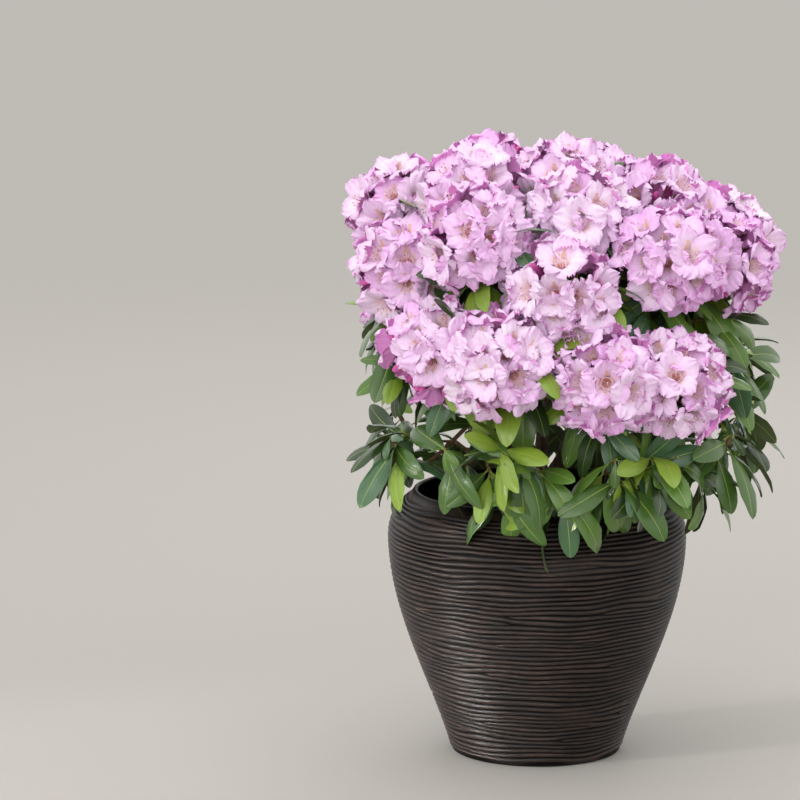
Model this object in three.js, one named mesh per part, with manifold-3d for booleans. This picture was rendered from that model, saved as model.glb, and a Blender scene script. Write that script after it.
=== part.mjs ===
// A rhododendron in full flower in a ribbed, dark brown pot. Millimetres, +Z up, with the
// origin at the middle of the pot's underside. The front of the plant looks along -Y.
// Pot, soil, trunk, main stems and boughs are each one solid. The crown is a set of masses,
// each grown from one stem by a seeded rule: twigs that end in shoots, on each shoot a whorl
// of long leaves and, on a flowering shoot, a ball of flowers.
import * as THREE from "three";
import { mergeVertices } from "three/addons/utils/BufferGeometryUtils.js";
import Module from "manifold-3d";

const wasm = await Module();
wasm.setup();

// Touching solids stay this far apart.
const CLEARANCE = 0.3;

// The turn from one leaf to the next up a shoot.
const GOLDEN_TURN = THREE.MathUtils.degToRad(137.508);

// Corners closer than this are one corner, and edges shorter than this are closed up.
const MERGE_DISTANCE = 1e-3;
const SHORTEST_EDGE = 0.15;
const CLEANING_ROUNDS = 3;

// The root of a leaf is sunk in its shoot by at least this many cubic millimetres.
const LEAST_HOLD = 4;

// The pot's outside: a foot, a side that swells to the belly, a round shoulder and a lip.
const POT_HEIGHT = 355;
const FOOT_RADIUS = 115;
const BELLY_RADIUS = 200;
const BELLY_HEIGHT = 295;
const SIDE_POWER = 1.2;
const SHOULDER_WIDTH = 50;
const SHOULDER_RISE = 57;
const SHOULDER_TURN = THREE.MathUtils.degToRad(65);
const LIP_RADIUS = 163;
const FOOT_ROUNDING = 6;
const WALL = 7;
const SOIL_HEIGHT = 322;
const POT_FACETS = 40;
const OUTER_SIDE_STEPS = 9;
const INNER_SIDE_STEPS = 6;
const SHOULDER_STEPS = 5;

// The crown leans out over the pot's +X side.
const CROWN_OFFSET = 34;

// The trunk, with a lobed root flare that dies away upwards, and the main stems that start
// sunk in its top and lean out.
const TRUNK = {
  height: 48, foot: 22, top: 19, lean: 6, sides: 10, steps: 5,
  flare: 0.55, flare_lobes: 5, lobe_depth: 0.3, flare_fade: 5,
};
const STEM = {
  count: 5, first_turn: 18, ring: 8.5, sunk: 10, reach: 62, sway: 0.12, rise: 82,
  start: 10, end: 7.5, sides: 6, elbow_reach: 34, elbow_rise: 33, elbow_turn: 8,
};

// The boughs fork from the last stretch of the stems, each a little below the one before,
// and end part of the way from the heart of the crown to the middle of their mass.
const BOUGH = {
  start: 6.2, end: 4.4, sides: 5, share: 0.46, arch: 0.08,
  first_fork: 0.96, fork_spacing: 0.2, crowding: 22,
};
const HEART = new THREE.Vector3(CROWN_OFFSET / 2, 0, 470);
const LIMB_STEPS = 4;

// The tiers of shoots from the top down: how far from the crown's middle, how high, how the
// height falls towards +X, how far the shoots tilt outwards, how much further their leaves
// hang, and their compass turns in degrees from +X. The front's turns, from 180 to 360,
// follow the flowers in the photo. The last shoot fills a gap at the back.
const TIERS = [
  { reach: 0, height: 751, slope: 0, tilt: 4, hang: 0, flowers: true, turns: [0] },
  { reach: 122, height: 738, slope: 0.12, tilt: 20, hang: 0, flowers: true,
    turns: [0, 68, 138, 200, 283] },
  { reach: 212, height: 698, slope: 0.12, tilt: 42, hang: 0, flowers: true,
    turns: [0, 40, 84, 128, 170, 238, 306, 340] },
  { reach: 206, height: 636, slope: 0.12, tilt: 54, hang: 0, flowers: true, turns: [199, 268] },
  { reach: 244, height: 552, slope: 0.12, tilt: 64, hang: 0, flowers: true,
    turns: [58, 87, 148, 226, 252, 279, 306] },
  { reach: 244, height: 555, slope: 0.08, tilt: 46, hang: 0.1, flowers: false,
    turns: [345, 16, 194, 166] },
  { reach: 250, height: 448, slope: 0, tilt: 40, hang: 0.2, flowers: false,
    turns: [330, 8, 156, 204] },
  { reach: 240, height: 432, slope: 0, tilt: 62, hang: 0.4, flowers: false,
    turns: [44, 104, 230, 258, 284, 308] },
  { reach: 224, height: 398, slope: 0, tilt: 74, hang: 0.7, flowers: false,
    turns: [74, 134, 246, 270, 291] },
  { reach: 244, height: 552, slope: 0.12, tilt: 64, hang: 0, flowers: true, turns: [117] },
];

// How far each shoot strays from its tier's plan, in all.
const STRAY = { turn: 8, reach: 0.06, height: 22 };

// The masses that the shoots are grouped into: rings of middles, again from the top down.
const MASS_RINGS = [
  { name: "top", reach: 0, height: 765, count: 1, first: 0 },
  { name: "shoulder", reach: 215, height: 690, count: 4, first: 60 },
  { name: "skirt", reach: 245, height: 495, count: 5, first: 20 },
];

// A mass has a stem, which forks into thin twigs, each of which bends into a thicker shoot.
const TWIG = { radius: 3.2, taper: 0.8, sunk: 2, fork: 30 };
const SHOOT = { radius: 6, flowering_length: 92, leafy_length: 52, past_tip: 6 };

// Leaves: their sizes, where they stand on the shoot, and the angles, in radians, by which
// they turn about it, rise from it and droop.
const LEAF = {
  count: 9, length: 120, width: 38, foot: 4.5, thickness: 2.4, smallest: 0.78, arch: 7,
  sunk: 1, spacing: 5, below_ball: 46, below_tip: 6, turn_spread: 1.4,
  rise: 0.55, rise_lost: 0.7, rise_spread: 0.7, droop: 0.05, droop_spread: 0.55,
  attempts: 16, shrink: 0.03,
};
const BALL = { lobe: 78, pit: 64, throat: 56 };

// A stream of numbers from 0 to 1 that is the same on every run.
function seeded(seed) {
  let state = (seed * 9176 + 1237) % 4294967296;
  return () => {
    state = (state * 1664525 + 1013904223) % 4294967296;
    return state / 4294967296;
  };
}

// A closed three.js geometry as a solid that can be joined and cut.
function solidOf(geometry) {
  geometry.deleteAttribute("normal");
  geometry.deleteAttribute("uv");
  const merged = mergeVertices(geometry, MERGE_DISTANCE);
  return new wasm.Manifold(
    new wasm.Mesh({
      numProp: 3,
      vertProperties: merged.attributes.position.array,
      triVerts: new Uint32Array(merged.index.array),
    }),
  );
}

// The largest piece of a solid, without loose scraps and without sealed hollows.
function mainPiece(solid) {
  return solid.decompose().sort((a, b) => b.volume() - a.volume())[0];
}

function geometryOf(solid) {
  const { vertProperties, triVerts } = solid.getMesh();
  return new THREE.BufferGeometry()
    .setAttribute("position", new THREE.BufferAttribute(vertProperties, 3))
    .setIndex(new THREE.BufferAttribute(triVerts, 1));
}

// One closed body. Merging close corners can part it again, so that is done to the end.
function finished(solid) {
  let body = mainPiece(solid.simplify(SHORTEST_EDGE));
  for (let round = 0; round < CLEANING_ROUNDS; round++) {
    body = mainPiece(solidOf(geometryOf(body)).simplify(SHORTEST_EDGE));
  }
  return geometryOf(body);
}

// Whether two solids share any space.
function meets(a, b) {
  const boxA = a.boundingBox();
  const boxB = b.boundingBox();
  const apart = [0, 1, 2].some(
    (axis) => boxA.min[axis] > boxB.max[axis] || boxB.min[axis] > boxA.max[axis],
  );
  return !apart && !a.intersect(b).isEmpty();
}

// The pot

// The pot's outer radius at a height up to the belly.
function sideRadius(height) {
  const rise = Math.sin((Math.PI / 2) * (height / BELLY_HEIGHT) ** SIDE_POWER);
  return FOOT_RADIUS + (BELLY_RADIUS - FOOT_RADIUS) * rise;
}

// The wall's line from the foot to the top of the shoulder, drawn in by a distance.
function wallLine(inset, lowest, sideSteps) {
  const line = [];
  for (let i = 0; i <= sideSteps; i++) {
    const height = lowest + ((BELLY_HEIGHT - lowest) * i) / sideSteps;
    line.push(new THREE.Vector2(sideRadius(height) - inset, height));
  }
  for (let i = 1; i <= SHOULDER_STEPS; i++) {
    const turn = (SHOULDER_TURN * i) / SHOULDER_STEPS;
    line.push(
      new THREE.Vector2(
        BELLY_RADIUS - SHOULDER_WIDTH + (SHOULDER_WIDTH - inset) * Math.cos(turn),
        BELLY_HEIGHT + (SHOULDER_RISE - inset) * Math.sin(turn),
      ),
    );
  }
  return line;
}

function potGeometry() {
  const outside = wallLine(0, FOOT_ROUNDING, OUTER_SIDE_STEPS);
  const inside = wallLine(WALL, WALL, INNER_SIDE_STEPS).reverse();
  const profile = [
    new THREE.Vector2(0, 0),
    new THREE.Vector2(FOOT_RADIUS - FOOT_ROUNDING, 0),
    ...outside,
    new THREE.Vector2(LIP_RADIUS + WALL / 2, POT_HEIGHT),
    new THREE.Vector2(LIP_RADIUS - WALL / 2, POT_HEIGHT),
    ...inside,
    new THREE.Vector2(0, WALL),
  ];
  return new THREE.LatheGeometry(profile, POT_FACETS).rotateX(Math.PI / 2);
}

// The root ball fills the pot up to the soil's surface.
function soilGeometry() {
  const inset = WALL + CLEARANCE;
  const line = wallLine(inset, inset, INNER_SIDE_STEPS);
  const wall = line.filter((point) => point.y < SOIL_HEIGHT);
  const profile = [
    new THREE.Vector2(0, inset),
    ...wall,
    new THREE.Vector2(wall.at(-1).x - WALL, SOIL_HEIGHT),
    new THREE.Vector2(0, SOIL_HEIGHT),
  ];
  return new THREE.LatheGeometry(profile, POT_FACETS).rotateX(Math.PI / 2);
}

// The wood

// A limb: a cylinder bent along a curve, with a radius for each share of the way.
function limbGeometry(curve, sides, steps, radiusAt) {
  const limb = new THREE.CylinderGeometry(1, 1, 1, sides, steps);
  const { normals, binormals } = curve.computeFrenetFrames(steps);
  const places = limb.getAttribute("position");
  const corner = new THREE.Vector3();
  for (let i = 0; i < places.count; i++) {
    corner.fromBufferAttribute(places, i);
    const step = Math.round((corner.y + 0.5) * steps);
    const radius = radiusAt(step / steps, Math.atan2(corner.z, corner.x));
    const across = binormals[step].clone().multiplyScalar(corner.x * radius);
    const aside = normals[step].clone().multiplyScalar(corner.z * radius);
    corner.copy(curve.getPointAt(step / steps)).add(across).add(aside);
    places.setXYZ(i, corner.x, corner.y, corner.z);
  }
  return limb;
}

function compass(turn, reach, height) {
  const angle = THREE.MathUtils.degToRad(turn);
  return new THREE.Vector3(reach * Math.cos(angle), reach * Math.sin(angle), height);
}

const SOIL_TOP = SOIL_HEIGHT + CLEARANCE;
const FORK_HEIGHT = SOIL_TOP + TRUNK.height;

// The trunk leans by a shear, so that its foot stays flat on the soil.
function trunkGeometry(grown) {
  const upright = new THREE.LineCurve3(
    new THREE.Vector3(0, 0, 0),
    new THREE.Vector3(0, 0, TRUNK.height),
  );
  const trunk = limbGeometry(upright, TRUNK.sides, TRUNK.steps, (share, turn) => {
    const lobe = 1 + TRUNK.lobe_depth * Math.cos(TRUNK.flare_lobes * turn);
    const flare = TRUNK.flare * Math.exp(-TRUNK.flare_fade * share) * lobe;
    return THREE.MathUtils.lerp(TRUNK.foot, TRUNK.top, share) * (1 + flare) + grown;
  });
  const lean = new THREE.Matrix4().makeShear(0, 0, 0, 0, TRUNK.lean / TRUNK.height, 0);
  return trunk.applyMatrix4(lean).translate(0, 0, SOIL_TOP);
}

// The stems lean out by turns, and with the crown towards +X.
function stemCurve(index) {
  const turn = STEM.first_turn + (360 / STEM.count) * index;
  const reach = STEM.reach * (1 + STEM.sway * Math.sin(index * GOLDEN_TURN));
  const points = [
    compass(turn, STEM.ring, FORK_HEIGHT - STEM.sunk),
    compass(turn + STEM.elbow_turn, STEM.elbow_reach, FORK_HEIGHT + STEM.elbow_rise),
    compass(turn, reach, FORK_HEIGHT + STEM.rise),
  ];
  points.forEach((point, i) => {
    point.x += TRUNK.lean + (CROWN_OFFSET * i) / 10;
  });
  return new THREE.CatmullRomCurve3(points);
}

function taper(start, end, grown) {
  return (share) => THREE.MathUtils.lerp(start, end, share) + grown;
}

// The crown's plan

// Each shoot has a tip, which on a flowering shoot is the middle of its ball of flowers.
function planShoots() {
  const shoots = [];
  TIERS.forEach((tier) => {
    tier.turns.forEach((turn) => {
      const chance = seeded(shoots.length + 1);
      const strayed = turn + (chance() - 0.5) * STRAY.turn;
      const reach = tier.reach * (1 + (chance() - 0.5) * STRAY.reach);
      const tip = compass(strayed, reach, tier.height + (chance() - 0.5) * STRAY.height);
      tip.z -= tier.slope * tip.x;
      tip.x += CROWN_OFFSET;
      const tilt = THREE.MathUtils.degToRad(tier.tilt);
      const facing = compass(strayed, Math.sin(tilt), Math.cos(tilt));
      const spin = 2 * Math.PI * chance();
      shoots.push({ tip, facing, flowers: tier.flowers, hang: tier.hang, spin, chance });
    });
  });
  return shoots;
}

function planMasses(shoots) {
  const masses = [];
  for (const ring of MASS_RINGS) {
    for (let i = 0; i < ring.count; i++) {
      const middle = compass(ring.first + (360 / ring.count) * i, ring.reach, ring.height);
      middle.x += CROWN_OFFSET;
      masses.push({ name: `${ring.name}_mass_${i + 1}`, middle, shoots: [] });
    }
  }
  for (const shoot of shoots) {
    const nearest = masses.reduce((best, mass) =>
      mass.middle.distanceTo(shoot.tip) < best.middle.distanceTo(shoot.tip) ? mass : best,
    );
    nearest.shoots.push(shoot);
  }
  return masses;
}

// A mass's space is what lies nearer to one of its own shoots than to any other's.
function keepsToItsSpace(points, mass, masses) {
  const others = masses.filter((other) => other !== mass).flatMap((other) => other.shoots);
  return points.every((point) => {
    const own = Math.min(...mass.shoots.map((shoot) => shoot.tip.distanceTo(point)));
    return others.every((shoot) => shoot.tip.distanceTo(point) > own + CLEARANCE);
  });
}

// Each mass's bough forks from the stem whose end is nearest, unless that is crowded.
function planBoughs(masses, stems) {
  const carried = stems.map(() => 0);
  for (const mass of masses) {
    const tip = HEART.clone().lerp(mass.middle, BOUGH.share);
    const costs = stems.map(
      (stem, i) => stem.getPointAt(1).distanceTo(tip) + BOUGH.crowding * carried[i],
    );
    const chosen = costs.indexOf(Math.min(...costs));
    const share = BOUGH.first_fork - BOUGH.fork_spacing * carried[chosen];
    const foot = stems[chosen].getPointAt(share);
    const elbow = foot.clone().lerp(tip, 0.5);
    elbow.z += BOUGH.arch * foot.distanceTo(tip);
    mass.bough = new THREE.CatmullRomCurve3([foot, elbow, tip]);
    carried[chosen] += 1;
  }
}

// Twigs, leaves and flowers

// A three-sided twig from one point to another.
function twigSolid(from, to, radius) {
  const line = new THREE.LineCurve3(from, to);
  return solidOf(limbGeometry(line, 3, 1, taper(radius, radius * TWIG.taper, 0)));
}

// Two directions square to the way that a shoot faces, the first of them level.
function sideways(facing) {
  const side = new THREE.Vector3(-facing.y, facing.x, 0).normalize();
  return { side, across: new THREE.Vector3().crossVectors(facing, side) };
}

// A three-sided leaf: a narrow foot, its full width half way along, and a point. It has a
// ridge along its middle and arches over.
function leafPart(foot, direction, facing, length, width) {
  const leaf = new THREE.ConeGeometry(1, 1, 3, 2);
  const places = leaf.getAttribute("position");
  for (let i = 0; i < places.count; i++) {
    const share = places.getY(i) + 0.5;
    const radius = Math.hypot(places.getX(i), places.getZ(i));
    const spread = share < 0.25 ? LEAF.foot : width;
    const across = radius > 1e-6 ? places.getX(i) / radius : 0;
    const over = radius > 1e-6 ? places.getZ(i) / radius : 0;
    places.setXYZ(
      i,
      (across * spread) / Math.sqrt(3),
      share * length - LEAF.sunk,
      (over * LEAF.thickness) / 1.5 + LEAF.arch * Math.sin(Math.PI * share),
    );
  }
  const side = new THREE.Vector3().crossVectors(direction, facing).normalize();
  const up = new THREE.Vector3().crossVectors(side, direction);
  leaf.applyMatrix4(new THREE.Matrix4().makeBasis(side, direction, up));
  return leaf.translate(foot.x, foot.y, foot.z);
}

// The leaves of a shoot stand in a spiral whorl under its tip and droop with their weight.
function whorlLeaf(shoot, index, scale) {
  const { side, across } = sideways(shoot.facing);
  const { chance } = shoot;
  const share = index / LEAF.count;
  const turn = GOLDEN_TURN * index + (chance() - 0.5) * LEAF.turn_spread;
  const rise = LEAF.rise - LEAF.rise_lost * share + (chance() - 0.5) * LEAF.rise_spread;
  const droop = LEAF.droop + LEAF.droop_spread * chance();
  const below = (shoot.flowers ? LEAF.below_ball : LEAF.below_tip) + LEAF.spacing * index;
  const base = shoot.tip.clone().addScaledVector(shoot.facing, -below);
  const direction = side.clone().multiplyScalar(Math.cos(turn) * Math.cos(rise));
  direction.addScaledVector(across, Math.sin(turn) * Math.cos(rise));
  direction.addScaledVector(shoot.facing, Math.sin(rise));
  direction.z -= droop + shoot.hang;
  direction.normalize();
  const size = THREE.MathUtils.lerp(LEAF.smallest, 1, chance()) * scale;
  const up = new THREE.Vector3(0, 0, 1).add(shoot.facing);
  return leafPart(base, direction, up, LEAF.length * size, LEAF.width * size);
}

// A ball of twelve flowers, as one body. Each corner of an icosahedron is the throat of a
// flower, the middles of its edges are where the lobes of two flowers meet, and the middles
// of its faces are the pits between three. The ball stays clear of the shoots of other masses.
function ballGeometry(tip, spin, rivals) {
  const ico = new THREE.IcosahedronGeometry(1, 0).getAttribute("position");
  const turn = new THREE.Matrix4().makeRotationZ(spin);
  const placed = (direction, radius) => {
    const way = direction.clone().normalize().applyMatrix4(turn);
    const limits = rivals.map((rival) => {
      const gap = rival.tip.clone().sub(tip);
      const lean = gap.dot(way) / gap.length();
      return lean > 0.01 ? (gap.length() / 2 - CLEARANCE) / lean : Infinity;
    });
    return way.multiplyScalar(Math.min(radius, ...limits)).add(tip).toArray();
  };
  const corners = [];
  for (let face = 0; face < ico.count; face += 3) {
    const [a, b, c] = [0, 1, 2].map((i) => new THREE.Vector3().fromBufferAttribute(ico, face + i));
    const pit = placed(a.clone().add(b).add(c), BALL.pit);
    for (const [from, to] of [[a, b], [b, c], [c, a]]) {
      const lobe = placed(from.clone().add(to), BALL.lobe);
      corners.push(...placed(from, BALL.throat), ...lobe, ...pit);
      corners.push(...lobe, ...placed(to, BALL.throat), ...pit);
    }
  }
  const ball = new THREE.BufferGeometry();
  return ball.setAttribute("position", new THREE.Float32BufferAttribute(corners, 3));
}

function cornersOf(geometry) {
  const places = geometry.getAttribute("position");
  const corners = [];
  for (let i = 0; i < places.count; i++) {
    corners.push(new THREE.Vector3().fromBufferAttribute(places, i));
  }
  return corners;
}

// The wood of a mass starts clear of its bough's tip: a stem, then a twig to each shoot.
// A flowering shoot ends in its ball.
function growTwigs(mass, masses) {
  const rivals = masses.filter((other) => other !== mass).flatMap((other) => other.shoots);
  const onward = mass.bough.getTangentAt(1);
  const foot = mass.bough.getPointAt(1).addScaledVector(onward, CLEARANCE);
  const fork = foot.clone().addScaledVector(onward, TWIG.fork);
  const stemEnd = fork.clone().addScaledVector(onward, TWIG.sunk);
  const parts = [twigSolid(foot, stemEnd, BOUGH.end)];
  for (const { tip, facing, flowers, spin } of mass.shoots) {
    const length = flowers ? SHOOT.flowering_length : SHOOT.leafy_length;
    const bend = tip.clone().addScaledVector(facing, -length);
    const way = bend.clone().sub(fork).normalize();
    const twigStart = fork.clone().addScaledVector(way, -TWIG.sunk);
    const twigEnd = bend.clone().addScaledVector(way, TWIG.sunk);
    const shootStart = bend.clone().addScaledVector(facing, -TWIG.sunk);
    const shootEnd = tip.clone().addScaledVector(facing, flowers ? 0 : SHOOT.past_tip);
    parts.push(twigSolid(twigStart, twigEnd, TWIG.radius));
    parts.push(twigSolid(shootStart, shootEnd, SHOOT.radius));
    if (flowers) parts.push(solidOf(ballGeometry(tip, spin, rivals)));
  }
  return wasm.Manifold.union(parts).simplify(SHORTEST_EDGE);
}

// Leaves are fused on one by one. A leaf that would leave the mass's space, or touch more
// than the shoot that bears it, is tried at other angles and smaller, and at last skipped.
function growMass(mass, masses, obstacles) {
  const holdsWell = (shared) => shared.length === 1 && shared[0].volume() > LEAST_HOLD;
  let body = mass.twigs;
  const fits = (geometry, solid) =>
    keepsToItsSpace(cornersOf(geometry), mass, masses) &&
    !obstacles.some((obstacle) => meets(solid, obstacle)) &&
    holdsWell(body.intersect(solid).decompose());
  for (const shoot of mass.shoots) {
    for (let index = 0; index < LEAF.count; index++) {
      for (let attempt = 0; attempt < LEAF.attempts; attempt++) {
        const geometry = whorlLeaf(shoot, index, 1 - LEAF.shrink * attempt);
        const solid = solidOf(geometry);
        if (!fits(geometry, solid)) continue;
        body = body.add(solid).simplify(SHORTEST_EDGE);
        break;
      }
    }
  }
  return body;
}

// The materials, as they look in daylight.
function material(colour, roughness) {
  return new THREE.MeshStandardMaterial({ color: colour, roughness, metalness: 0 });
}

const POT_BROWN = material("#3a2d28", 0.55);
const SOIL_BROWN = material("#2b2019", 1);
const BARK = material("#6b5140", 0.9);
const BLOSSOM_AND_LEAF = material("#d9a6dc", 0.7);

// The whole plant

const plant = new THREE.Group();

function add(name, geometry, finish) {
  const mesh = new THREE.Mesh(geometry, finish);
  mesh.name = name;
  plant.add(mesh);
}

add("pot", potGeometry(), POT_BROWN);
add("soil", soilGeometry(), SOIL_BROWN);
add("trunk", trunkGeometry(0), BARK);

// Each limb is cut clear of those made before it, which are kept thicker by the clearance.
const wood = [solidOf(trunkGeometry(CLEARANCE))];

function addLimb(name, curve, shape) {
  const body = (grown) =>
    solidOf(limbGeometry(curve, shape.sides, LIMB_STEPS, taper(shape.start, shape.end, grown)));
  const limb = wood.reduce((left, other) => left.subtract(other), body(0));
  add(name, finished(limb), BARK);
  wood.push(body(CLEARANCE));
}

const stems = [];
for (let i = 0; i < STEM.count; i++) {
  stems.push(stemCurve(i));
  addLimb(`main_stem_${i + 1}`, stems[i], STEM);
}

const masses = planMasses(planShoots());
planBoughs(masses, stems);
for (const mass of masses) {
  addLimb(mass.name.replace("mass", "bough"), mass.bough, BOUGH);
  mass.twigs = growTwigs(mass, masses);
}

// Leaves keep clear of the pot, the soil, all wood, all balls, and the leaves before them.
const obstacles = [...wood, solidOf(potGeometry()), solidOf(soilGeometry())];
for (const mass of masses) {
  const others = masses.filter((other) => other !== mass).map((other) => other.twigs);
  const solid = growMass(mass, masses, [...obstacles, ...others]);
  obstacles.push(solid);
  add(mass.name, finished(solid), BLOSSOM_AND_LEAF);
}

export default plant;
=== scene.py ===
"""A rhododendron in full flower in a ribbed, dark brown pot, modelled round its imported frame.

Metres, +Z up, with the origin at the middle of the pot's underside. The crown grows by the same
seeded rule as the frame's solids, carried on to finer twigs, leaves and single flowers.
"""

import functools
import math
from types import SimpleNamespace as Bundle

import bpy
import numpy as np
from bpy.props import FloatProperty, FloatVectorProperty, IntProperty, PointerProperty
from mathutils import Matrix, Vector, noise


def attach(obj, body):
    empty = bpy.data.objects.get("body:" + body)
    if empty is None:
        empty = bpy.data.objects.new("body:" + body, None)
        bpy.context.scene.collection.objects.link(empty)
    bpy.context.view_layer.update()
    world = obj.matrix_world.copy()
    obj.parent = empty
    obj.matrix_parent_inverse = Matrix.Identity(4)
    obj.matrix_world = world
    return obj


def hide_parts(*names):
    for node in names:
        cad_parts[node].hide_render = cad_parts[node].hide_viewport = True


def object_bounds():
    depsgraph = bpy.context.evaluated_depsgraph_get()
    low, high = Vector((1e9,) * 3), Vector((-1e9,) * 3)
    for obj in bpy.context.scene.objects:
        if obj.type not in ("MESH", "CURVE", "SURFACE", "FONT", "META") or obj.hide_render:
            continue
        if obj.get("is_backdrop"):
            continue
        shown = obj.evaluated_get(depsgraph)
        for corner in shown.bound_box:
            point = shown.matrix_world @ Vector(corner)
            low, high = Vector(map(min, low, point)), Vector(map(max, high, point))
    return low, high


bl_info = {
    "name": "Potted Rhododendron",
    "version": (1, 0, 0),
    "blender": (4, 5, 0),
    "location": "3D View > Sidebar > Plant",
    "description": "Models a flowering rhododendron and its ribbed pot round their packed frame",
    "category": "Object",
}

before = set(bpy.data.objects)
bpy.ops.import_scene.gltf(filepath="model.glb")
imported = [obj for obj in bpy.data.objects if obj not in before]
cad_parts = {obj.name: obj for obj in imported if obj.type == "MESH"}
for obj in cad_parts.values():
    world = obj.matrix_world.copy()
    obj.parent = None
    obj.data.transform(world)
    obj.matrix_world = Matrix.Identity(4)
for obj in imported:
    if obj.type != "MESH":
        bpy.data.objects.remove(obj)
FRAME_LOW, FRAME_HIGH = (np.array(corner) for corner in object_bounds())

MM = 0.001
GOLDEN_TURN = math.radians(137.508)
UP = np.array([0.0, 0.0, 1.0])
TINY = 1e-6

# The pot's outside: a foot, a side that swells to the belly, a round shoulder and a lip.
POT_HEIGHT = 355 * MM
FOOT_RADIUS = 115 * MM
FOOT_ROUNDING = 6 * MM
FOOT_BEVEL = (2 * MM, 1.5 * MM)
BELLY_RADIUS = 200 * MM
BELLY_HEIGHT = 295 * MM
SIDE_POWER = 1.2
SHOULDER_WIDTH = 50 * MM
SHOULDER_RISE = 57 * MM
SHOULDER_TURN = math.radians(65)
LIP_RADIUS = 163 * MM
LIP_BEVEL = (1.2 * MM, 2 * MM)
WALL = 7 * MM
SOIL_HEIGHT = 322 * MM
CLEARANCE = 0.3 * MM
MERGE = 0.01 * MM

# How finely the pot is divided: rows up its ribbed wall and inner wall, and columns round it.
RIBBED_ROWS = 340
INNER_ROWS = 24
POT_COLUMNS = 216

# The ribs wander by slow waves, and are shallower in patches and towards the lip. The smooth
# parts of the pot are as dark as a rib is at the height called smooth.
# The grooves are darkened in colour with painted shade, the more so where the ribs are deep
# (contrast).
RIB = Bundle(
    wander=4.2 * MM, wave_round=78 * MM, wave_up=30 * MM, sharpness=1.6, patch=85 * MM,
    patch_squash=2.5, patch_start=7, depth=0.95, patchiness=0.7, shallowest=0.5, fade=14 * MM,
    contrast=1.3, smooth=0.35,
)
# Between the two places of a pair runs one rib more. They lie some radians apart round the pot.
RIB_FORKS = Bundle(
    pairs=44, seed=71, stretch=5, height=(20 * MM, 330 * MM), apart=(0.35, 1.5), slant=14 * MM,
)

# The compost: cells across its crumbly top, how far it is sunk, its lumps, and how the rings of
# its sides are taken from the wall's line.
COMPOST = Bundle(cells=110, sunk=4 * MM, lump=14 * MM, relief=3.2 * MM, edge=12, rows=60, stride=6)

# The crown leans out over the pot's +X side.
CROWN_OFFSET = 34 * MM
HEART = np.array([CROWN_OFFSET / 2, 0, 470 * MM])

# The wood, as in the frame, and the relief of its bark.
TRUNK = Bundle(
    height=48 * MM, foot=22 * MM, top=19 * MM, lean=6 * MM, flare=0.55, lobes=5, depth=0.3, fade=5,
    sides=40, cuts=12,
)
STEM = Bundle(
    count=5, first_turn=18, ring=8.5 * MM, sunk=10 * MM, reach=62 * MM, sway=0.12, rise=82 * MM,
    start=10 * MM, end=7.5 * MM, elbow_reach=34 * MM, elbow_rise=33 * MM, elbow_turn=8, drift=0.1,
)
BOUGH = Bundle(
    start=6.2 * MM, end=4.4 * MM, share=0.46, arch=0.08, first_fork=0.96, fork_spacing=0.2,
    crowding=22 * MM,
)
LIMB_STEPS = 48
LIMB_STRIDE = 4
BARK = Bundle(voxel=1.7 * MM, flake=5 * MM, drawn=0.35, relief=0.7 * MM)
SOIL_TOP = SOIL_HEIGHT + CLEARANCE
FORK_HEIGHT = SOIL_TOP + TRUNK.height

# The tiers of shoots from the top down, with one last shoot that fills the back: reach and height
# in millimetres, how the height falls towards +X, the outward tilt in degrees, how much further
# the leaves hang, whether the shoots flower, and their compass turns in degrees.
TIERS = [
    (0, 751, 0, 4, 0, True, [0]),
    (122, 738, 0.12, 20, 0, True, [0, 68, 138, 200, 283]),
    (212, 698, 0.12, 42, 0, True, [0, 40, 84, 128, 170, 238, 306, 340]),
    (206, 636, 0.12, 54, 0, True, [199, 268]),
    (244, 552, 0.12, 64, 0, True, [58, 87, 148, 226, 252, 279, 306]),
    (244, 555, 0.08, 46, 0.1, False, [345, 16, 194, 166]),
    (250, 448, 0, 40, 0.2, False, [330, 8, 156, 204]),
    (240, 432, 0, 62, 0.4, False, [44, 104, 230, 258, 284, 308]),
    (224, 398, 0, 74, 0.7, False, [74, 134, 246, 270, 291]),
    (244, 552, 0.12, 64, 0, True, [117]),
]
STRAY = Bundle(turn=8, reach=0.06, height=22 * MM)

# The rings of masses that the shoots are grouped into: name, reach and height in millimetres,
# how many masses, and the first one's compass turn.
MASS_RINGS = [("top", 0, 765, 1, 0), ("shoulder", 215, 690, 4, 60), ("skirt", 245, 495, 5, 20)]

# Each mass's stem forks into twigs, and each twig bends into a shoot. Finer side twigs with
# small whorls fill the inside of the crown. Their last four numbers set the way they point.
TWIG = Bundle(start=3.6 * MM, end=2.4 * MM, tip=0.4 * MM, fork=30 * MM, steps=22, sides=8)
SHOOT = Bundle(
    radius=3.1 * MM, points=6, flowering_length=92 * MM, leafy_length=52 * MM, past_tip=6 * MM,
    short_of_ball=26 * MM,
)
SIDE_TWIG = Bundle(
    places=(0.5, 0.76), length=70 * MM, start=2 * MM, end=1.5 * MM, tip=0.3 * MM, sag=4 * MM, steps=6,
    sides=6, along=0.5, aside=0.9, outward=0.8, upward=0.2,
)

# Where leaves stand on a shoot, and the angles, in radians, by which they turn, rise and droop.
WHORL = Bundle(
    below_ball=46 * MM, below_tip=6 * MM, depth=45 * MM, turn_spread=0.7, rise=0.55, rise_lost=0.8,
    rise_spread=0.45, side_lift=0.45, roll=1.3, droop=(0.05, 0.55), smallest=0.72, attempts=14,
    shrink=0.03,
)
TIP_WHORL = dict(count=4, size=0.38, below=-5 * MM, depth=4 * MM)
SIDE_WHORL = dict(count=7, size=0.85, below=2 * MM, depth=22 * MM)
POT_ROOM = 4 * MM
BALL_ROOM = 50 * MM
FRAME_ROOM = 2 * MM

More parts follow.
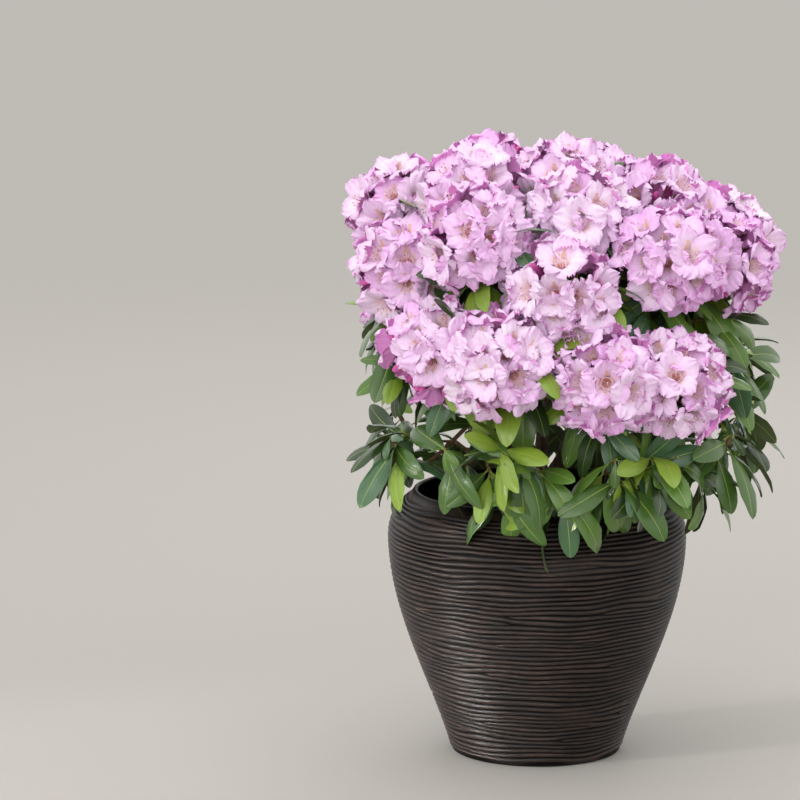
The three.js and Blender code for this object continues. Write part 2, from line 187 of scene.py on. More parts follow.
# A leaf one unit long: the shares of its length where its rows lie, its stalk, its outline, and
# the least value and the width of each span that its fold, roll, waves and bends are drawn from.
LEAF = Bundle(
    rows=(0, 0.12, 0.17, 0.26, 0.4, 0.55, 0.7, 0.82, 0.91, 0.965, 1), stalk=0.12, lowness=1.18,
    fullness=0.58, stalk_end=0.2, stalk_half=0.016, tip_half=0.004, rib=0.0075, rib_lost=0.0055,
    rib_sunk=0.004, fold=(0.05, 0.3), roll=(0.03, 0.05), wave=(0.006, 0.016), ripples=(1.5, 2),
    rise=0.15, rise_spread=0.3, bend=0.6, curl=0.8, uncurled=0.6, sway=0.14, twist=1.1,
    thickness=0.006, seed=501,
)
LEAF_SHAPES = 9
LEAF_ARCHES = {"spreading": 0.7, "hanging": 0.9}
HANGING = 0.3
# The greens, and how much of the sprays is mostly of each. A leaf mostly has its spray's green.
GREENS = {
    "mature": "Mature Leaf", "middle": "Middle Leaf", "cool": "Bluish Leaf",
    "fresh": "Yellowish Leaf", "dark": "Old Leaf",
}
# Hanging sprays take more of the darker greens as painted shade; on the crown's +X side the bluish and
# yellowish shares swap, as painted light and shade.
SPRAY_GREENS = {
    "spreading": (0.34, 0.14, 0.16, 0.3, 0.06),
    "hanging": (0.26, 0.26, 0.1, 0.14, 0.24),
}
SPRAY_SHARE = 0.6
# Side veins leave the midrib 7 mm apart and lean towards the tip.
VEIN_TURNS = 94
VEIN_LEAN = -0.3

# A flower ball: how far a flower's base and rim stand from the ball's middle, how far round the
# flowers go, how near to another ball's middle a rim may come, and how the tints are dealt out.
TRUSS = Bundle(
    base=35 * MM, base_spread=14 * MM, rim=70 * MM, widest=math.radians(108), crowded=50 * MM,
    scales=24 * MM, scatter=0.3, top_scatter=0.5, size=(0.94, 0.16), stalk=1.1 * MM, bow=5 * MM,
    budding=0.06, young=0.13, young_size=0.78, ball_tint=0.55, tint_steps=(0.25, 0.5, 0.72),
)
# The balls, by number, that still hold tufts of buds, and how many of their flowers do.
TUFTED = (4, 19)
TUFT_BUDDING = 0.2
BUDS_IN_TUFT = 2
FLOWER_SHAPES = 10
SPARE_SHAPES = 3
FLOWER_SEED, STAMEN_SEED, BUD_SEED = 601, 651, 681

# What a flower's faces are, and the materials that they take after the tints of petal.
FACES = dict(centre=0, middle=1, edge=2, back=3, blotch=4, throat=5, glow=6)
PETAL_TINTS = 6
PETAL_SKINS = {
    "back": "Petal Back", "blotch": "Throat Blotch", "throat": "Throat", "bud": "Flower Bud",
    "glow": "Throat Glow",
}
SKINS = {skin: PETAL_TINTS + i for i, skin in enumerate(PETAL_SKINS)}
# The materials of the finer parts, with their roughness.
FINE_SKINS = {
    "stamen": ("Stamen Thread", 0.5), "anther": ("Anther", 0.8), "stalk": ("Flower Stalk", 0.6),
    "scale": ("Bud Scale", 0.7),
}
THREAD, ANTHER, STALK, SCALE = range(4)

# The funnel at a flower's base in millimetres, up its outside, over its rim and down inside, and
# the bands of faces where the warm tint and the throat begin.
FUNNEL_RADII = (0.8, 3.0, 5.6, 7.9, 9.3, 8.6, 6.2, 3.4, 0.6)
FUNNEL_HEIGHTS = (0, 4, 10, 15, 18, 17.2, 12, 6, 2.5)
FUNNEL = Bundle(sides=10, pleat=0.1, glow=4, throat=6, lobes=5, stray=0.16)

# One lobe: its grid, where it leaves the funnel, how far it leans and rolls back in degrees, the
# share of its length where it is widest, the waves of its edge, and where its tints change.
LOBE = Bundle(
    rows=5, columns=12, fine=60, throat=8.5 * MM, claw=5.4 * MM, foot=16 * MM, length=(0.92, 0.14),
    width=(0.94, 0.14), lean=25, roll=(28, 50), lower_roll=12, spacing=0.85, widest=0.62, round=0.42,
    swell=1.1, ripples=(10, 4), notch=0.05, notch_width=0.2, tip=0.1, scallop=0.05, cup=(0.05, 0.16),
    crease=0.7 * MM, thickness=0.45 * MM, tint_steps=(0.3, 0.66), tint_fall=0.22, tint_wave=0.1,
)


def linear(code):
    """An sRGB hex colour as linear red, green and blue."""
    parts = [int(code[i : i + 2], 16) / 255 for i in (1, 3, 5)]
    return tuple(p / 12.92 if p <= 0.04045 else ((p + 0.055) / 1.055) ** 2.4 for p in parts)


def size_in_mm(name, size, description):
    """A length that a user may change, in metres, with its default given in millimetres."""
    return FloatProperty(
        name=name, description=description, default=size * MM, min=0, precision=4, unit="LENGTH"
    )


def colour_of(name, code, description):
    """A colour that a user may change, with its default given as an sRGB hex code."""
    return FloatVectorProperty(
        name=name, description=description, default=linear(code), min=0, max=1, subtype="COLOR"
    )


def power_of(name, watts, description):
    """A lamp's power that a user may change, in watts."""
    return FloatProperty(name=name, description=description, default=watts, min=0)


class PotSettings(bpy.types.PropertyGroup):
    rib_pitch: size_in_mm("Rib Pitch", 6.6, "Height of one rib and its groove")
    rib_depth: size_in_mm("Rib Depth", 2.4, "How deep the grooves are")
    # The groove colour is painted shade: near-black, darker than the resin's own brown-black.
    groove: colour_of("Groove", "#0B0909", "Colour down in the grooves")
    ridge: colour_of("Ridge", "#221A17", "Colour of the ridges")
    rubbed: colour_of("Rubbed", "#45342C", "Colour where the ridges are rubbed pale")
    compost: colour_of("Compost", "#2E221A", "Colour of the damp potting compost")


class WoodSettings(bpy.types.PropertyGroup):
    bark: colour_of("Bark", "#6F5544", "Colour of the old bark")
    crevice: colour_of("Crevice", "#3A2A21", "Colour in the cracks of the bark")
    twig: colour_of("Twig", "#7A5F3E", "Colour of the young twigs")


class LeafSettings(bpy.types.PropertyGroup):
    length: size_in_mm("Length", 108, "Length of a full-grown leaf")
    width: size_in_mm("Width", 36, "Width of a full-grown leaf")
    count: IntProperty(name="Leaves", description="Leaves in a whorl", default=12, min=3, max=30)
    mature: colour_of("Mature", "#52742A", "Upper side of most leaves")
    middle: colour_of("Middle", "#426227", "Upper side of slightly older leaves")
    cool: colour_of("Cool", "#40623F", "Upper side of the bluish leaves")
    fresh: colour_of("Fresh", "#7B972F", "Upper side of the yellowish leaves")
    # The dark green is the oldest leaves' colour and, dealt out more on hanging sprays, painted shade.
    dark: colour_of("Dark", "#2A401C", "Upper side of the oldest leaves")
    underside: colour_of("Underside", "#535F38", "Underside of the leaves")
    midrib: colour_of("Midrib", "#94A548", "Midrib and leaf stalk")


class BlossomSettings(bpy.types.PropertyGroup):
    flowers: IntProperty(
        name="Flowers", description="Flowers in a ball", default=24, min=3, max=30
    )
    lobe_length: size_in_mm("Lobe Length", 31, "Length of one lobe of a flower")
    lobe_width: size_in_mm("Lobe Width", 32, "Width of one lobe of a flower")
    frill: size_in_mm("Frill", 3.2, "How far the edges of the lobes wave")
    pale: colour_of("Pale", "#FBEDFB", "Palest petals")
    deep: colour_of("Deep", "#EDBAEC", "Edges of the deepest petals")
    # The backs' deep pink is partly the flowers' own outside colour and partly painted shade for the
    # gaps between flowers.
    back: colour_of("Back", "#EDA6E0", "Outside of the flowers")
    blotch: colour_of("Blotch", "#E9C5B4", "Blotch on the upper lobe")
    throat: colour_of("Throat", "#D9A58C", "Down in the throat")
    glow: colour_of("Glow", "#F5D8DB", "Warm tint round the throat")
    bud: colour_of("Bud", "#D562AC", "Unopened flowers")
    stamen: colour_of("Stamen", "#F4D9EC", "Threads of the stamens")
    anther: colour_of("Anther", "#B88A52", "Tips of the stamens")
    stalk: colour_of("Stalk", "#A39A52", "Flower stalks")
    scale: colour_of("Scale", "#B98543", "Dry scales of the old flower bud")


class StageSettings(bpy.types.PropertyGroup):
    floor: colour_of("Floor", "#ACA8A1", "Colour of the plain floor")
    key: power_of("Key", 22, "Power of the main lamp")
    top: power_of("Top", 8, "Power of the lamp overhead")
    side: power_of("Side", 2, "Power of the narrow side lamp")
    fill: power_of("Fill", 38, "Power of the front lamp")
    rim: power_of("Rim", 20, "Power of the lamp behind")
    sky: FloatProperty(name="Sky", description="Strength of the even light", default=1.12, min=0)


# The plan of the crown


def seeded(seed):
    """A stream of numbers from 0 to 1 that is the same on every run."""
    limit = 2**32
    state = (seed * 9176 + 1237) % limit

    def chance():
        nonlocal state
        state = (state * 1664525 + 1013904223) % limit
        return state / limit

    return chance


def drawn(chance, span):
    """A number drawn from a span, which is its least value and its width."""
    least, width = span
    return least + width * chance()


def scatter(chance, width):
    """A small way with each part drawn from a span about nothing."""
    return width * (np.array([chance(), chance(), chance()]) - 0.5)


def unit(way):
    return np.asarray(way, float) / np.linalg.norm(way)


def compass(turn, reach, height):
    angle = math.radians(turn)
    return np.array([reach * math.cos(angle), reach * math.sin(angle), height])


def even_line(controls, steps, fine=64):
    """A centripetal Catmull-Rom curve through the controls, as points even along it."""
    known = [np.asarray(point, float) for point in controls]
    known = [2 * known[0] - known[1], *known, 2 * known[-1] - known[-2]]
    dense = []
    for p0, p1, p2, p3 in zip(known, known[1:], known[2:], known[3:]):
        d0, d1, d2 = (np.linalg.norm(b - a) ** 0.5 for a, b in ((p0, p1), (p1, p2), (p2, p3)))
        leaving = ((p1 - p0) / d0 - (p2 - p0) / (d0 + d1) + (p2 - p1) / d1) * d1
        arriving = ((p2 - p1) / d1 - (p3 - p1) / (d1 + d2) + (p3 - p2) / d2) * d1
        t = np.linspace(0, 1, fine, endpoint=False)[:, None]
        bend = 3 * (p2 - p1) - 2 * leaving - arriving
        dense.append(p1 + leaving * t + bend * t**2 + (2 * (p1 - p2) + leaving + arriving) * t**3)
    return even(np.vstack([*dense, known[-2][None]]), steps)


def even(points, steps):
    """Points that lie even along a line of many points."""
    along = np.r_[0, np.cumsum(np.linalg.norm(np.diff(points, axis=0), axis=1))]
    places = np.linspace(0, along[-1], steps + 1)
    return np.column_stack([np.interp(places, along, column) for column in points.T])


def point_at(line, share):
    place = share * (len(line) - 1)
    return np.array([np.interp(place, np.arange(len(line)), column) for column in line.T])


def stem_line(index):
    turn = STEM.first_turn + 360 / STEM.count * index
    reach = STEM.reach * (1 + STEM.sway * math.sin(index * GOLDEN_TURN))
    elbow_turn = turn + STEM.elbow_turn
    points = [
        compass(turn, STEM.ring, FORK_HEIGHT - STEM.sunk),
        compass(elbow_turn, STEM.elbow_reach, FORK_HEIGHT + STEM.elbow_rise),
        compass(turn, reach, FORK_HEIGHT + STEM.rise),
    ]
    for i, point in enumerate(points):
        point[0] += TRUNK.lean + CROWN_OFFSET * STEM.drift * i
    return even_line(points, LIMB_STEPS)


def plan_shoots():
    """Each shoot's tip, which on a flowering shoot is the middle of its ball of flowers."""
    shoots = []
    for reach, height, slope, tilt, hang, flowers, turns in TIERS:
        for turn in turns:
            chance = seeded(len(shoots) + 1)
            strayed = turn + (chance() - 0.5) * STRAY.turn
            out = reach * MM * (1 + (chance() - 0.5) * STRAY.reach)
            tip = compass(strayed, out, height * MM + (chance() - 0.5) * STRAY.height)
            tip[2] -= slope * tip[0]
            tip[0] += CROWN_OFFSET
            lean = math.radians(tilt)
            facing = compass(strayed, math.sin(lean), math.cos(lean))
            shoot = Bundle(tip=tip, facing=facing, hang=hang, lift=0, flowers=flowers, chance=chance)
            shoot.spin = math.tau * chance()
            shoot.tufted = len(shoots) in TUFTED
            shoots.append(shoot)
    return shoots


def plan_masses(shoots):
    masses = []
    for ring, reach, height, count, first in MASS_RINGS:
        for i in range(count):
            middle = compass(first + 360 / count * i, reach * MM, height * MM)
            middle[0] += CROWN_OFFSET
            masses.append(Bundle(name=f"{ring}_mass_{i + 1}", middle=middle, shoots=[]))
    for shoot in shoots:
        nearest = min(masses, key=lambda mass: np.linalg.norm(mass.middle - shoot.tip))
        nearest.shoots.append(shoot)
    return masses


def plan_boughs(masses, stems):
    """Each mass's bough forks from the stem whose end is nearest, unless that is crowded."""
    carried = [0] * len(stems)
    for mass in masses:
        tip = HEART + (mass.middle - HEART) * BOUGH.share
        costs = [
            np.linalg.norm(stem[-1] - tip) + BOUGH.crowding * carried[i]
            for i, stem in enumerate(stems)
        ]
        chosen = int(np.argmin(costs))
        foot = point_at(stems[chosen], BOUGH.first_fork - BOUGH.fork_spacing * carried[chosen])
        elbow = (foot + tip) / 2 + UP * BOUGH.arch * np.linalg.norm(tip - foot)
        mass.bough = even_line([foot, elbow, tip], LIMB_STEPS)
        carried[chosen] += 1


def plan_twigs(mass):
    """A curved line from the bough's tip through the fork to each shoot's tip."""
    bough = mass.bough
    onward = unit(bough[-1] - bough[-2])
    foot = bough[-1] + onward * CLEARANCE
    fork = foot + onward * TWIG.fork
    for shoot in mass.shoots:
        length = SHOOT.flowering_length if shoot.flowers else SHOOT.leafy_length
        beyond = -SHOOT.short_of_ball if shoot.flowers else SHOOT.past_tip
        bend = shoot.tip - shoot.facing * length
        end = shoot.tip + shoot.facing * beyond
        shoot.twig = even_line([foot, fork, bend, end], TWIG.steps)


def plan_side_whorls(shoot):
    """Finer side twigs that stand out from a twig, each with a small whorl of leaves."""
    chance = shoot.chance
    whorls = []
    for place in SIDE_TWIG.places if shoot.flowers else SIDE_TWIG.places[:1]:
        foot = point_at(shoot.twig, place)
        outward = unit(foot - HEART + TINY)
        along = unit(point_at(shoot.twig, place + 0.05) - foot)
        across = np.cross(along, UP)
        turn = math.tau * chance()
        aside = unit(across) * math.cos(turn) + unit(np.cross(across, along)) * math.sin(turn)
        way = along * SIDE_TWIG.along + aside * SIDE_TWIG.aside
        facing = unit(way + outward * SIDE_TWIG.outward + UP * SIDE_TWIG.upward)
        whorl = Bundle(foot=foot, tip=foot + facing * SIDE_TWIG.length, facing=facing)
        whorl.hang, whorl.lift, whorl.chance = 0, WHORL.side_lift, chance
        whorls.append(whorl)
    return whorls


@functools.cache
def crown():
    """The whole plan: stems, masses with their boughs, shoots and side whorls."""
    shoots = plan_shoots()
    masses = plan_masses(shoots)
    stems = [stem_line(i) for i in range(STEM.count)]
    plan_boughs(masses, stems)
    for mass in masses:
        plan_twigs(mass)
        mass.whorls = [whorl for shoot in mass.shoots for whorl in plan_side_whorls(shoot)]
    return Bundle(shoots=shoots, masses=masses, stems=stems)


# Shapes as arrays


class Gathering:
    """Small shapes gathered into one mesh, with a material for each face."""

    def __init__(self):
        self.corners, self.faces, self.kinds, self.maps = [], [], [], []
        self.count = 0

    def add(self, shape, kinds=None, turn=None, origin=(0, 0, 0), size=1.0):
        """Adds a shape, turned by a matrix, scaled and moved. Kinds gives each face's material."""
        corners = shape["corners"] * size
        if turn is not None:
            corners = corners @ np.asarray(turn).T
        own = shape.get("kinds", np.zeros(len(shape["faces"]), int))
        self.corners.append(corners + origin)
        self.faces.append(shape["faces"] + self.count)
        self.kinds.append(own if kinds is None else np.asarray(kinds)[own])
        self.maps.append(shape.get("map", np.zeros((len(corners), 2))))
        self.count += len(corners)

    def piece(self, name, materials, angle=80):
        """The one smooth mesh object, with sharp edges where its faces turn by the angle."""
        corners, faces = np.vstack(self.corners), np.vstack(self.faces)
        mesh = bpy.data.meshes.new(name)
        mesh.vertices.add(len(corners))
        mesh.vertices.foreach_set("co", corners.astype(np.float32).ravel())
        mesh.loops.add(faces.size)
        mesh.loops.foreach_set("vertex_index", faces.astype(np.int32).ravel())
        mesh.polygons.add(len(faces))
        mesh.polygons.foreach_set("loop_start", np.arange(0, faces.size, 4, dtype=np.int32))
        mesh.polygons.foreach_set("material_index", np.concatenate(self.kinds).astype(np.int32))
        places = np.vstack(self.maps)[faces.ravel()]
        mesh.uv_layers.new(name="Blade").data.foreach_set("uv", places.astype(np.float32).ravel())
        mesh.update(calc_edges=True)
        for material in materials:
            mesh.materials.append(material)
        piece = bpy.data.objects.new(name, mesh)
        bpy.context.scene.collection.objects.link(piece)
        smooth(piece, angle)
        return piece


def ringed(rings):
    """A closed skin over rings that have the same even number of corners."""
    rows, sides = rings.shape[:2]
    starts = np.arange(rows - 1)[:, None] * sides
    here = np.arange(sides)[None]
    there = (here + 1) % sides
    walls = [starts + here, starts + there, starts + sides + there, starts + sides + here]
    fan = np.array([[0, k, k + 1, k + 2] for k in range(1, sides - 2, 2)])
    faces = np.vstack([np.stack(walls, -1).reshape(-1, 4), fan[:, ::-1], fan + (rows - 1) * sides])
    return dict(corners=rings.reshape(-1, 3), faces=faces)


def spun(radii, heights, sides, pleat=0.0):
    """A closed skin spun about the upright axis, drawn in by up to a share in five pleats."""
    turns = math.tau * np.arange(sides) / sides
    pleated = 1 - pleat * (0.5 + 0.5 * np.cos(5 * turns))
    ring = np.stack([np.cos(turns) * pleated, np.sin(turns) * pleated], -1)
    flat = ring[None] * np.asarray(radii)[:, None, None]
    rise = np.repeat(np.asarray(heights)[:, None, None], sides, axis=1)
    return ringed(np.concatenate([flat, rise], -1))


def tube(line, radii, sides):
    """A tube along a line, with a radius for each of its points."""
    line, radii = np.asarray(line, float), np.asarray(radii, float)
    ways = np.gradient(line, axis=0)
    ways /= np.linalg.norm(ways, axis=1)[:, None]
    aside = np.empty_like(line)
    start = UP if abs(ways[0][2]) < 0.9 else np.array([1.0, 0.0, 0.0])
    aside[0] = unit(np.cross(ways[0], start))
    for i in range(1, len(line)):
        aside[i] = unit(aside[i - 1] - ways[i] * (aside[i - 1] @ ways[i]))
    over = np.cross(ways, aside)
    turns = 2 * math.pi * np.arange(sides) / sides
    ring = np.cos(turns)[None, :, None] * aside[:, None] + np.sin(turns)[None, :, None] * over[:, None]
    return ringed(line[:, None] + ring * radii[:, None, None])


def two_sided(grid, thickness):
    """A grid of corners, seen from both sides, as a thin closed body. Its rim is shared."""
    rows, columns = grid.shape[0] - 1, grid.shape[1] - 1
    normals = np.cross(np.gradient(grid, axis=0), np.gradient(grid, axis=1))
    normals /= np.linalg.norm(normals, axis=2)[..., None] + TINY**2
    front = np.arange((rows + 1) * (columns + 1)).reshape(rows + 1, columns + 1)
    inner = (grid - normals * thickness)[1:-1, 1:-1]
    behind = front.copy()
    behind[1:-1, 1:-1] = front.size + np.arange(inner[..., 0].size).reshape(inner.shape[:2])

    def quads(index):
        return np.stack([index[:-1, :-1], index[1:, :-1], index[1:, 1:], index[:-1, 1:]], -1)

    # Both sheets start a face at the same corner, so that they fold along the same diagonals.
    back = quads(behind).reshape(-1, 4)[:, [0, 3, 2, 1]]
    faces = np.vstack([quads(front).reshape(-1, 4), back])
    corners = np.vstack([grid.reshape(-1, 3), inner.reshape(-1, 3)])
    source = np.r_[front.ravel(), front[1:-1, 1:-1].ravel()]
    return corners, faces, source


def joined(shapes):
    """Several shapes as one."""
    starts = np.cumsum([0] + [len(shape["corners"]) for shape in shapes[:-1]])
    return dict(
        corners=np.vstack([shape["corners"] for shape in shapes]),
        faces=np.vstack([shape["faces"] + start for shape, start in zip(shapes, starts)]),
        kinds=np.concatenate([shape["kinds"] for shape in shapes]),
    )


def painted(shape, kind):
    """The shape with one material for all its faces."""
    shape["kinds"] = np.full(len(shape["faces"]), kind)
    return shape


def turned(turn):
    """The matrix of a turn about the upright axis."""
    c, s = math.cos(turn), math.sin(turn)
    return np.array([[c, -s, 0], [s, c, 0], [0, 0, 1]])


def facing_frame(outward, top):
    """A matrix whose Z looks outward and whose X lies towards the top as far as it can."""
    x = top - outward * (top @ outward)
    if np.linalg.norm(x) < 1e-3:
        x = np.array([1.0, 0.0, 0.0]) - outward * outward[0]
    x = unit(x)
    return np.column_stack([x, np.cross(outward, x), outward])


# Finishing


def deselect():
    if bpy.context.object and bpy.context.object.mode != "OBJECT":
        bpy.ops.object.mode_set(mode="OBJECT")
    bpy.ops.object.select_all(action="DESELECT")


def choose(piece):
    deselect()
    piece.select_set(True)
    bpy.context.view_layer.objects.active = piece


def smooth(piece, angle):
    choose(piece)
    bpy.ops.object.shade_smooth_by_angle(angle=math.radians(angle))
    piece.select_set(False)


def corners_of(piece):
    corners = np.empty(len(piece.data.vertices) * 3)
    piece.data.vertices.foreach_get("co", corners)
    return corners.reshape(-1, 3)


def place_corners(piece, corners):
    piece.data.vertices.foreach_set("co", corners.astype(np.float32).ravel())
    piece.data.update()


def noise_over(places, *fractal):
    """Smooth noise at each of many places. Three numbers more make it a fractal."""
    read = noise.fractal if fractal else noise.noise
    return np.array([read(Vector(place), *fractal) for place in places])


def belong(piece, nodes):
    """The piece rides on the plant and stands for the nodes, which it hides."""
    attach(piece, "root")
    if nodes:
        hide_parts(*nodes)


# Materials


# A mix of two colours has its two inputs and its output by number.
COLOUR_MIX = dict(kind="Mix", data_type="RGBA", output=2)
FIRST, SECOND = 6, 7


def connect(tree, made, inputs):
    """Gives each named input of a node a value or another node's output."""
    for socket, value in inputs.items():
        if isinstance(value, bpy.types.NodeSocket):
            tree.links.new(value, made.inputs[socket])
        else:
            made.inputs[socket].default_value = value


def node(tree, kind, inputs=None, output=0, **settings):
    """Adds a shader node with its settings and links, and gives one of its outputs."""
    made = tree.nodes.new("ShaderNode" + kind)
    for name, value in settings.items():
        setattr(made, name, value)
    connect(tree, made, inputs or {})
    return made.outputs[output]


def new_material(name):
    """A material, its node tree and the coordinates of the object that it is on."""
    made = bpy.data.materials.new(name)
    made.use_nodes = True
    return made, made.node_tree, node(made.node_tree, "TexCoord", output="Object")


def finished(made, inputs):
    """The material, with the inputs of its main shader given."""
    connect(made.node_tree, made.node_tree.nodes["Principled BSDF"], inputs)
    return made


def opaque(colour):
    return (*colour, 1)


def pot_material(settings):
    """Moulded fibre resin, its ribs rubbed back by hand: dull brown-black, paler ridges, painted
    groove shade.
    """
    made, tree, place = new_material("Rubbed Fibre Resin")
    groove, ridge, pale = map(opaque, (settings.groove, settings.ridge, settings.rubbed))
    rib = node(tree, "Attribute", output="Fac", attribute_name="shade")
    stretched = node(tree, "Mapping", {"Vector": place, "Scale": (1, 1, 5)})
    # The rubbing comes and goes over some 6 cm along a rib, and the streaks are 1.5 mm wide.
    patches = node(tree, "TexNoise", {"Vector": stretched, "Scale": 16, "Detail": 3, "Roughness": 0.6})
    streaks = node(tree, "TexNoise", {"Vector": stretched, "Scale": 130, "Detail": 3})
    worn = node(tree, "MapRange", {"Value": patches, "From Min": 0.4, "From Max": 0.68})
    rubbed = node(tree, **COLOUR_MIX, inputs={"Factor": worn, FIRST: ridge, SECOND: pale})
    # Painted shade: the lower a place lies in its groove, the nearer its colour comes to the
    # near-black groove colour.
    high = node(tree, "MapRange", {"Value": rib, "From Min": 0.25, "From Max": 0.85})
    spans = {"From Min": 0.3, "From Max": 0.7, "To Min": 0.3, "To Max": 1.1}
    streaked = node(tree, "MapRange", {"Value": streaks, **spans})
    reach = node(tree, "Math", {0: high, 1: streaked}, operation="MULTIPLY", use_clamp=True)
    colour = node(tree, **COLOUR_MIX, inputs={"Factor": reach, FIRST: groove, SECOND: rubbed})
    rough = node(tree, "MapRange", {"Value": streaks, "To Min": 0.36, "To Max": 0.54})
    # Hardly any light is thrown back from down in the grooves.
    shine = node(tree, "MapRange", {"Value": rib, "From Min": 0.2, "To Min": 0.08, "To Max": 0.36})
    bump = node(tree, "Bump", {"Height": streaks, "Strength": 0.35, "Distance": 0.6 * MM})
    return finished(
        made, {"Base Color": colour, "Roughness": rough, "Specular IOR Level": shine, "Normal": bump}
    )


def compost_material(settings):
    """Damp potting compost: dark crumbs with paler fibres, and hardly any shine."""
    made, tree, place = new_material("Potting Compost")
    dark = opaque(0.45 * part for part in settings.compost)
    crumbs = node(tree, "TexNoise", {"Vector": place, "Scale": 240, "Detail": 5, "Roughness": 0.7})
    fibres = node(tree, "TexVoronoi", {"Vector": place, "Scale": 160})
    tone = node(tree, "MapRange", {"Value": crumbs, "From Min": 0.35, "From Max": 0.75})
    ends = {FIRST: dark, SECOND: opaque(settings.compost)}
    colour = node(tree, **COLOUR_MIX, inputs={"Factor": tone, **ends})
    height = node(tree, "Math", {0: crumbs, 1: fibres}, operation="ADD")
    bump = node(tree, "Bump", {"Height": height, "Strength": 0.8, "Distance": 2 * MM})
    return finished(made, {"Base Color": colour, "Roughness": 0.95, "Normal": bump})


def bark_material(name, pale, dark, grain):
    """Flaking bark, or the smoother rind of young wood: matt, darker down in its cracks."""
    made, tree, place = new_material(name)
    along = node(tree, "Mapping", {"Vector": place, "Scale": (1, 1, 0.3)})
    flakes = node(tree, "TexNoise", {"Vector": along, "Scale": grain, "Detail": 5, "Roughness": 0.65})
    tone = node(tree, "MapRange", {"Value": flakes, "From Min": 0.35, "From Max": 0.65})
    ends = {FIRST: opaque(dark), SECOND: opaque(pale)}
    colour = node(tree, **COLOUR_MIX, inputs={"Factor": tone, **ends})
    bump = node(tree, "Bump", {"Height": flakes, "Strength": 0.5, "Distance": 1 * MM})
    return finished(made, {"Base Color": colour, "Roughness": 0.8, "Normal": bump})


def leaf_material(name, colour):
    """The waxy upper side of an evergreen leaf: a gloss that its sunken side veins break up."""
    made, tree, place = new_material(name)
    blade = node(tree, "UVMap", uv_map="Blade")
    across = node(tree, "SeparateXYZ", {"Vector": blade}, "X")
    up_leaf = node(tree, "SeparateXYZ", {"Vector": blade}, "Y")
    off_middle = node(tree, "Math", {0: across, 1: 0.5}, operation="SUBTRACT")
    aside = node(tree, "Math", {0: off_middle}, operation="ABSOLUTE")
    lean = node(tree, "Math", {0: aside, 1: VEIN_LEAN}, operation="MULTIPLY")
    along = node(tree, "Math", {0: up_leaf, 1: lean}, operation="ADD")
    turns = node(tree, "Math", {0: along, 1: VEIN_TURNS}, operation="MULTIPLY")
    wave = node(tree, "Math", {0: turns}, operation="SINE")
    vein = node(tree, "MapRange", {"Value": wave, "From Min": 1, "From Max": 0.4})
    wax = node(tree, "TexNoise", {"Vector": place, "Scale": 45, "Detail": 3})
    dull = node(tree, "MapRange", {"Value": wax, "To Min": 0.2, "To Max": 0.42})
    bump = node(tree, "Bump", {"Height": vein, "Strength": 0.14, "Distance": 0.5 * MM})
    coat = {"Specular IOR Level": 0.35, "Coat Weight": 0.45, "Coat Roughness": 0.27}
    return finished(made, {"Base Color": opaque(colour), "Roughness": dull, "Normal": bump, **coat})


def grained(name, colour, roughness, grain, strength, distance, more={}):
    """A material of one plain colour, with a fine grain that only its relief shows."""
    made, tree, place = new_material(name)
    grains = node(tree, "TexNoise", {"Vector": place, "Scale": grain, "Detail": 2})
    bump = node(tree, "Bump", {"Height": grains, "Strength": strength, "Distance": distance})
    plain = {"Base Color": opaque(colour), "Roughness": roughness, "Normal": bump}
    return finished(made, {**plain, **more})


def soft_material(name, colour, roughness):
    """Downy or fibrous parts, such as undersides, midribs, stalks and scales: matt and grainy."""
    return grained(name, colour, roughness, 900, 0.25, 0.3 * MM)


def petal_material(name, colour):
    """A petal's thin, velvety skin, finely veined, with light glowing through it."""
    # A little of the light goes through and softens the edges of the shade.
    glow = {
        "Specular IOR Level": 0.3, "Subsurface Weight": 0.15, "Subsurface Scale": 1 * MM,
        "Subsurface Radius": (1.0, 0.7, 0.9),
    }
    return grained(name, colour, 0.6, 320, 0.2, 0.5 * MM, glow)


def floor_material(settings):
    """Plain matt studio board."""
    return grained("Studio Board", settings.floor, 0.8, 400, 0.05, 1 * MM)


# The pot


def side_radius(height):
    """The pot's outer radius at a height up to the belly."""
    rise = np.sin(math.pi / 2 * (np.asarray(height) / BELLY_HEIGHT) ** SIDE_POWER)
    return FOOT_RADIUS + (BELLY_RADIUS - FOOT_RADIUS) * rise


def wall_line(inset, lowest, steps):
    """The wall's line from the foot to the top of the shoulder, drawn in by a distance, as
    radii and heights even along it."""
    heights = np.linspace(lowest, BELLY_HEIGHT, 400)
    turns = np.linspace(0, SHOULDER_TURN, 100)[1:]
    radii = np.r_[
        side_radius(heights) - inset,
        BELLY_RADIUS - SHOULDER_WIDTH + (SHOULDER_WIDTH - inset) * np.cos(turns),
    ]
    rises = np.r_[heights, BELLY_HEIGHT + (SHOULDER_RISE - inset) * np.sin(turns)]
    return even(np.column_stack([radii, rises]), steps)


def outer_radius(height):
    """The pot's outer radius at any height."""
    line = wall_line(0, FOOT_ROUNDING, 200)
    return np.interp(height, line[:, 1], line[:, 0])


def pot_profile():
    """The pot's section as radii and heights, from the middle underneath over the lip and in."""
    outside, inside = LIP_RADIUS + WALL / 2, LIP_RADIUS - WALL / 2
    (foot_in, foot_up), (lip_in, lip_down) = FOOT_BEVEL, LIP_BEVEL
    return np.vstack([
        [[0, 0], [FOOT_RADIUS - FOOT_ROUNDING, 0], [FOOT_RADIUS - foot_in, foot_up]],
        wall_line(0, FOOT_ROUNDING, RIBBED_ROWS),
        [[outside, POT_HEIGHT - lip_down], [outside - lip_in, POT_HEIGHT]],
        [[inside + lip_in, POT_HEIGHT], [inside, POT_HEIGHT - lip_down]],
        wall_line(WALL, WALL, INNER_ROWS)[::-1],
        [[0, WALL]],
    ])


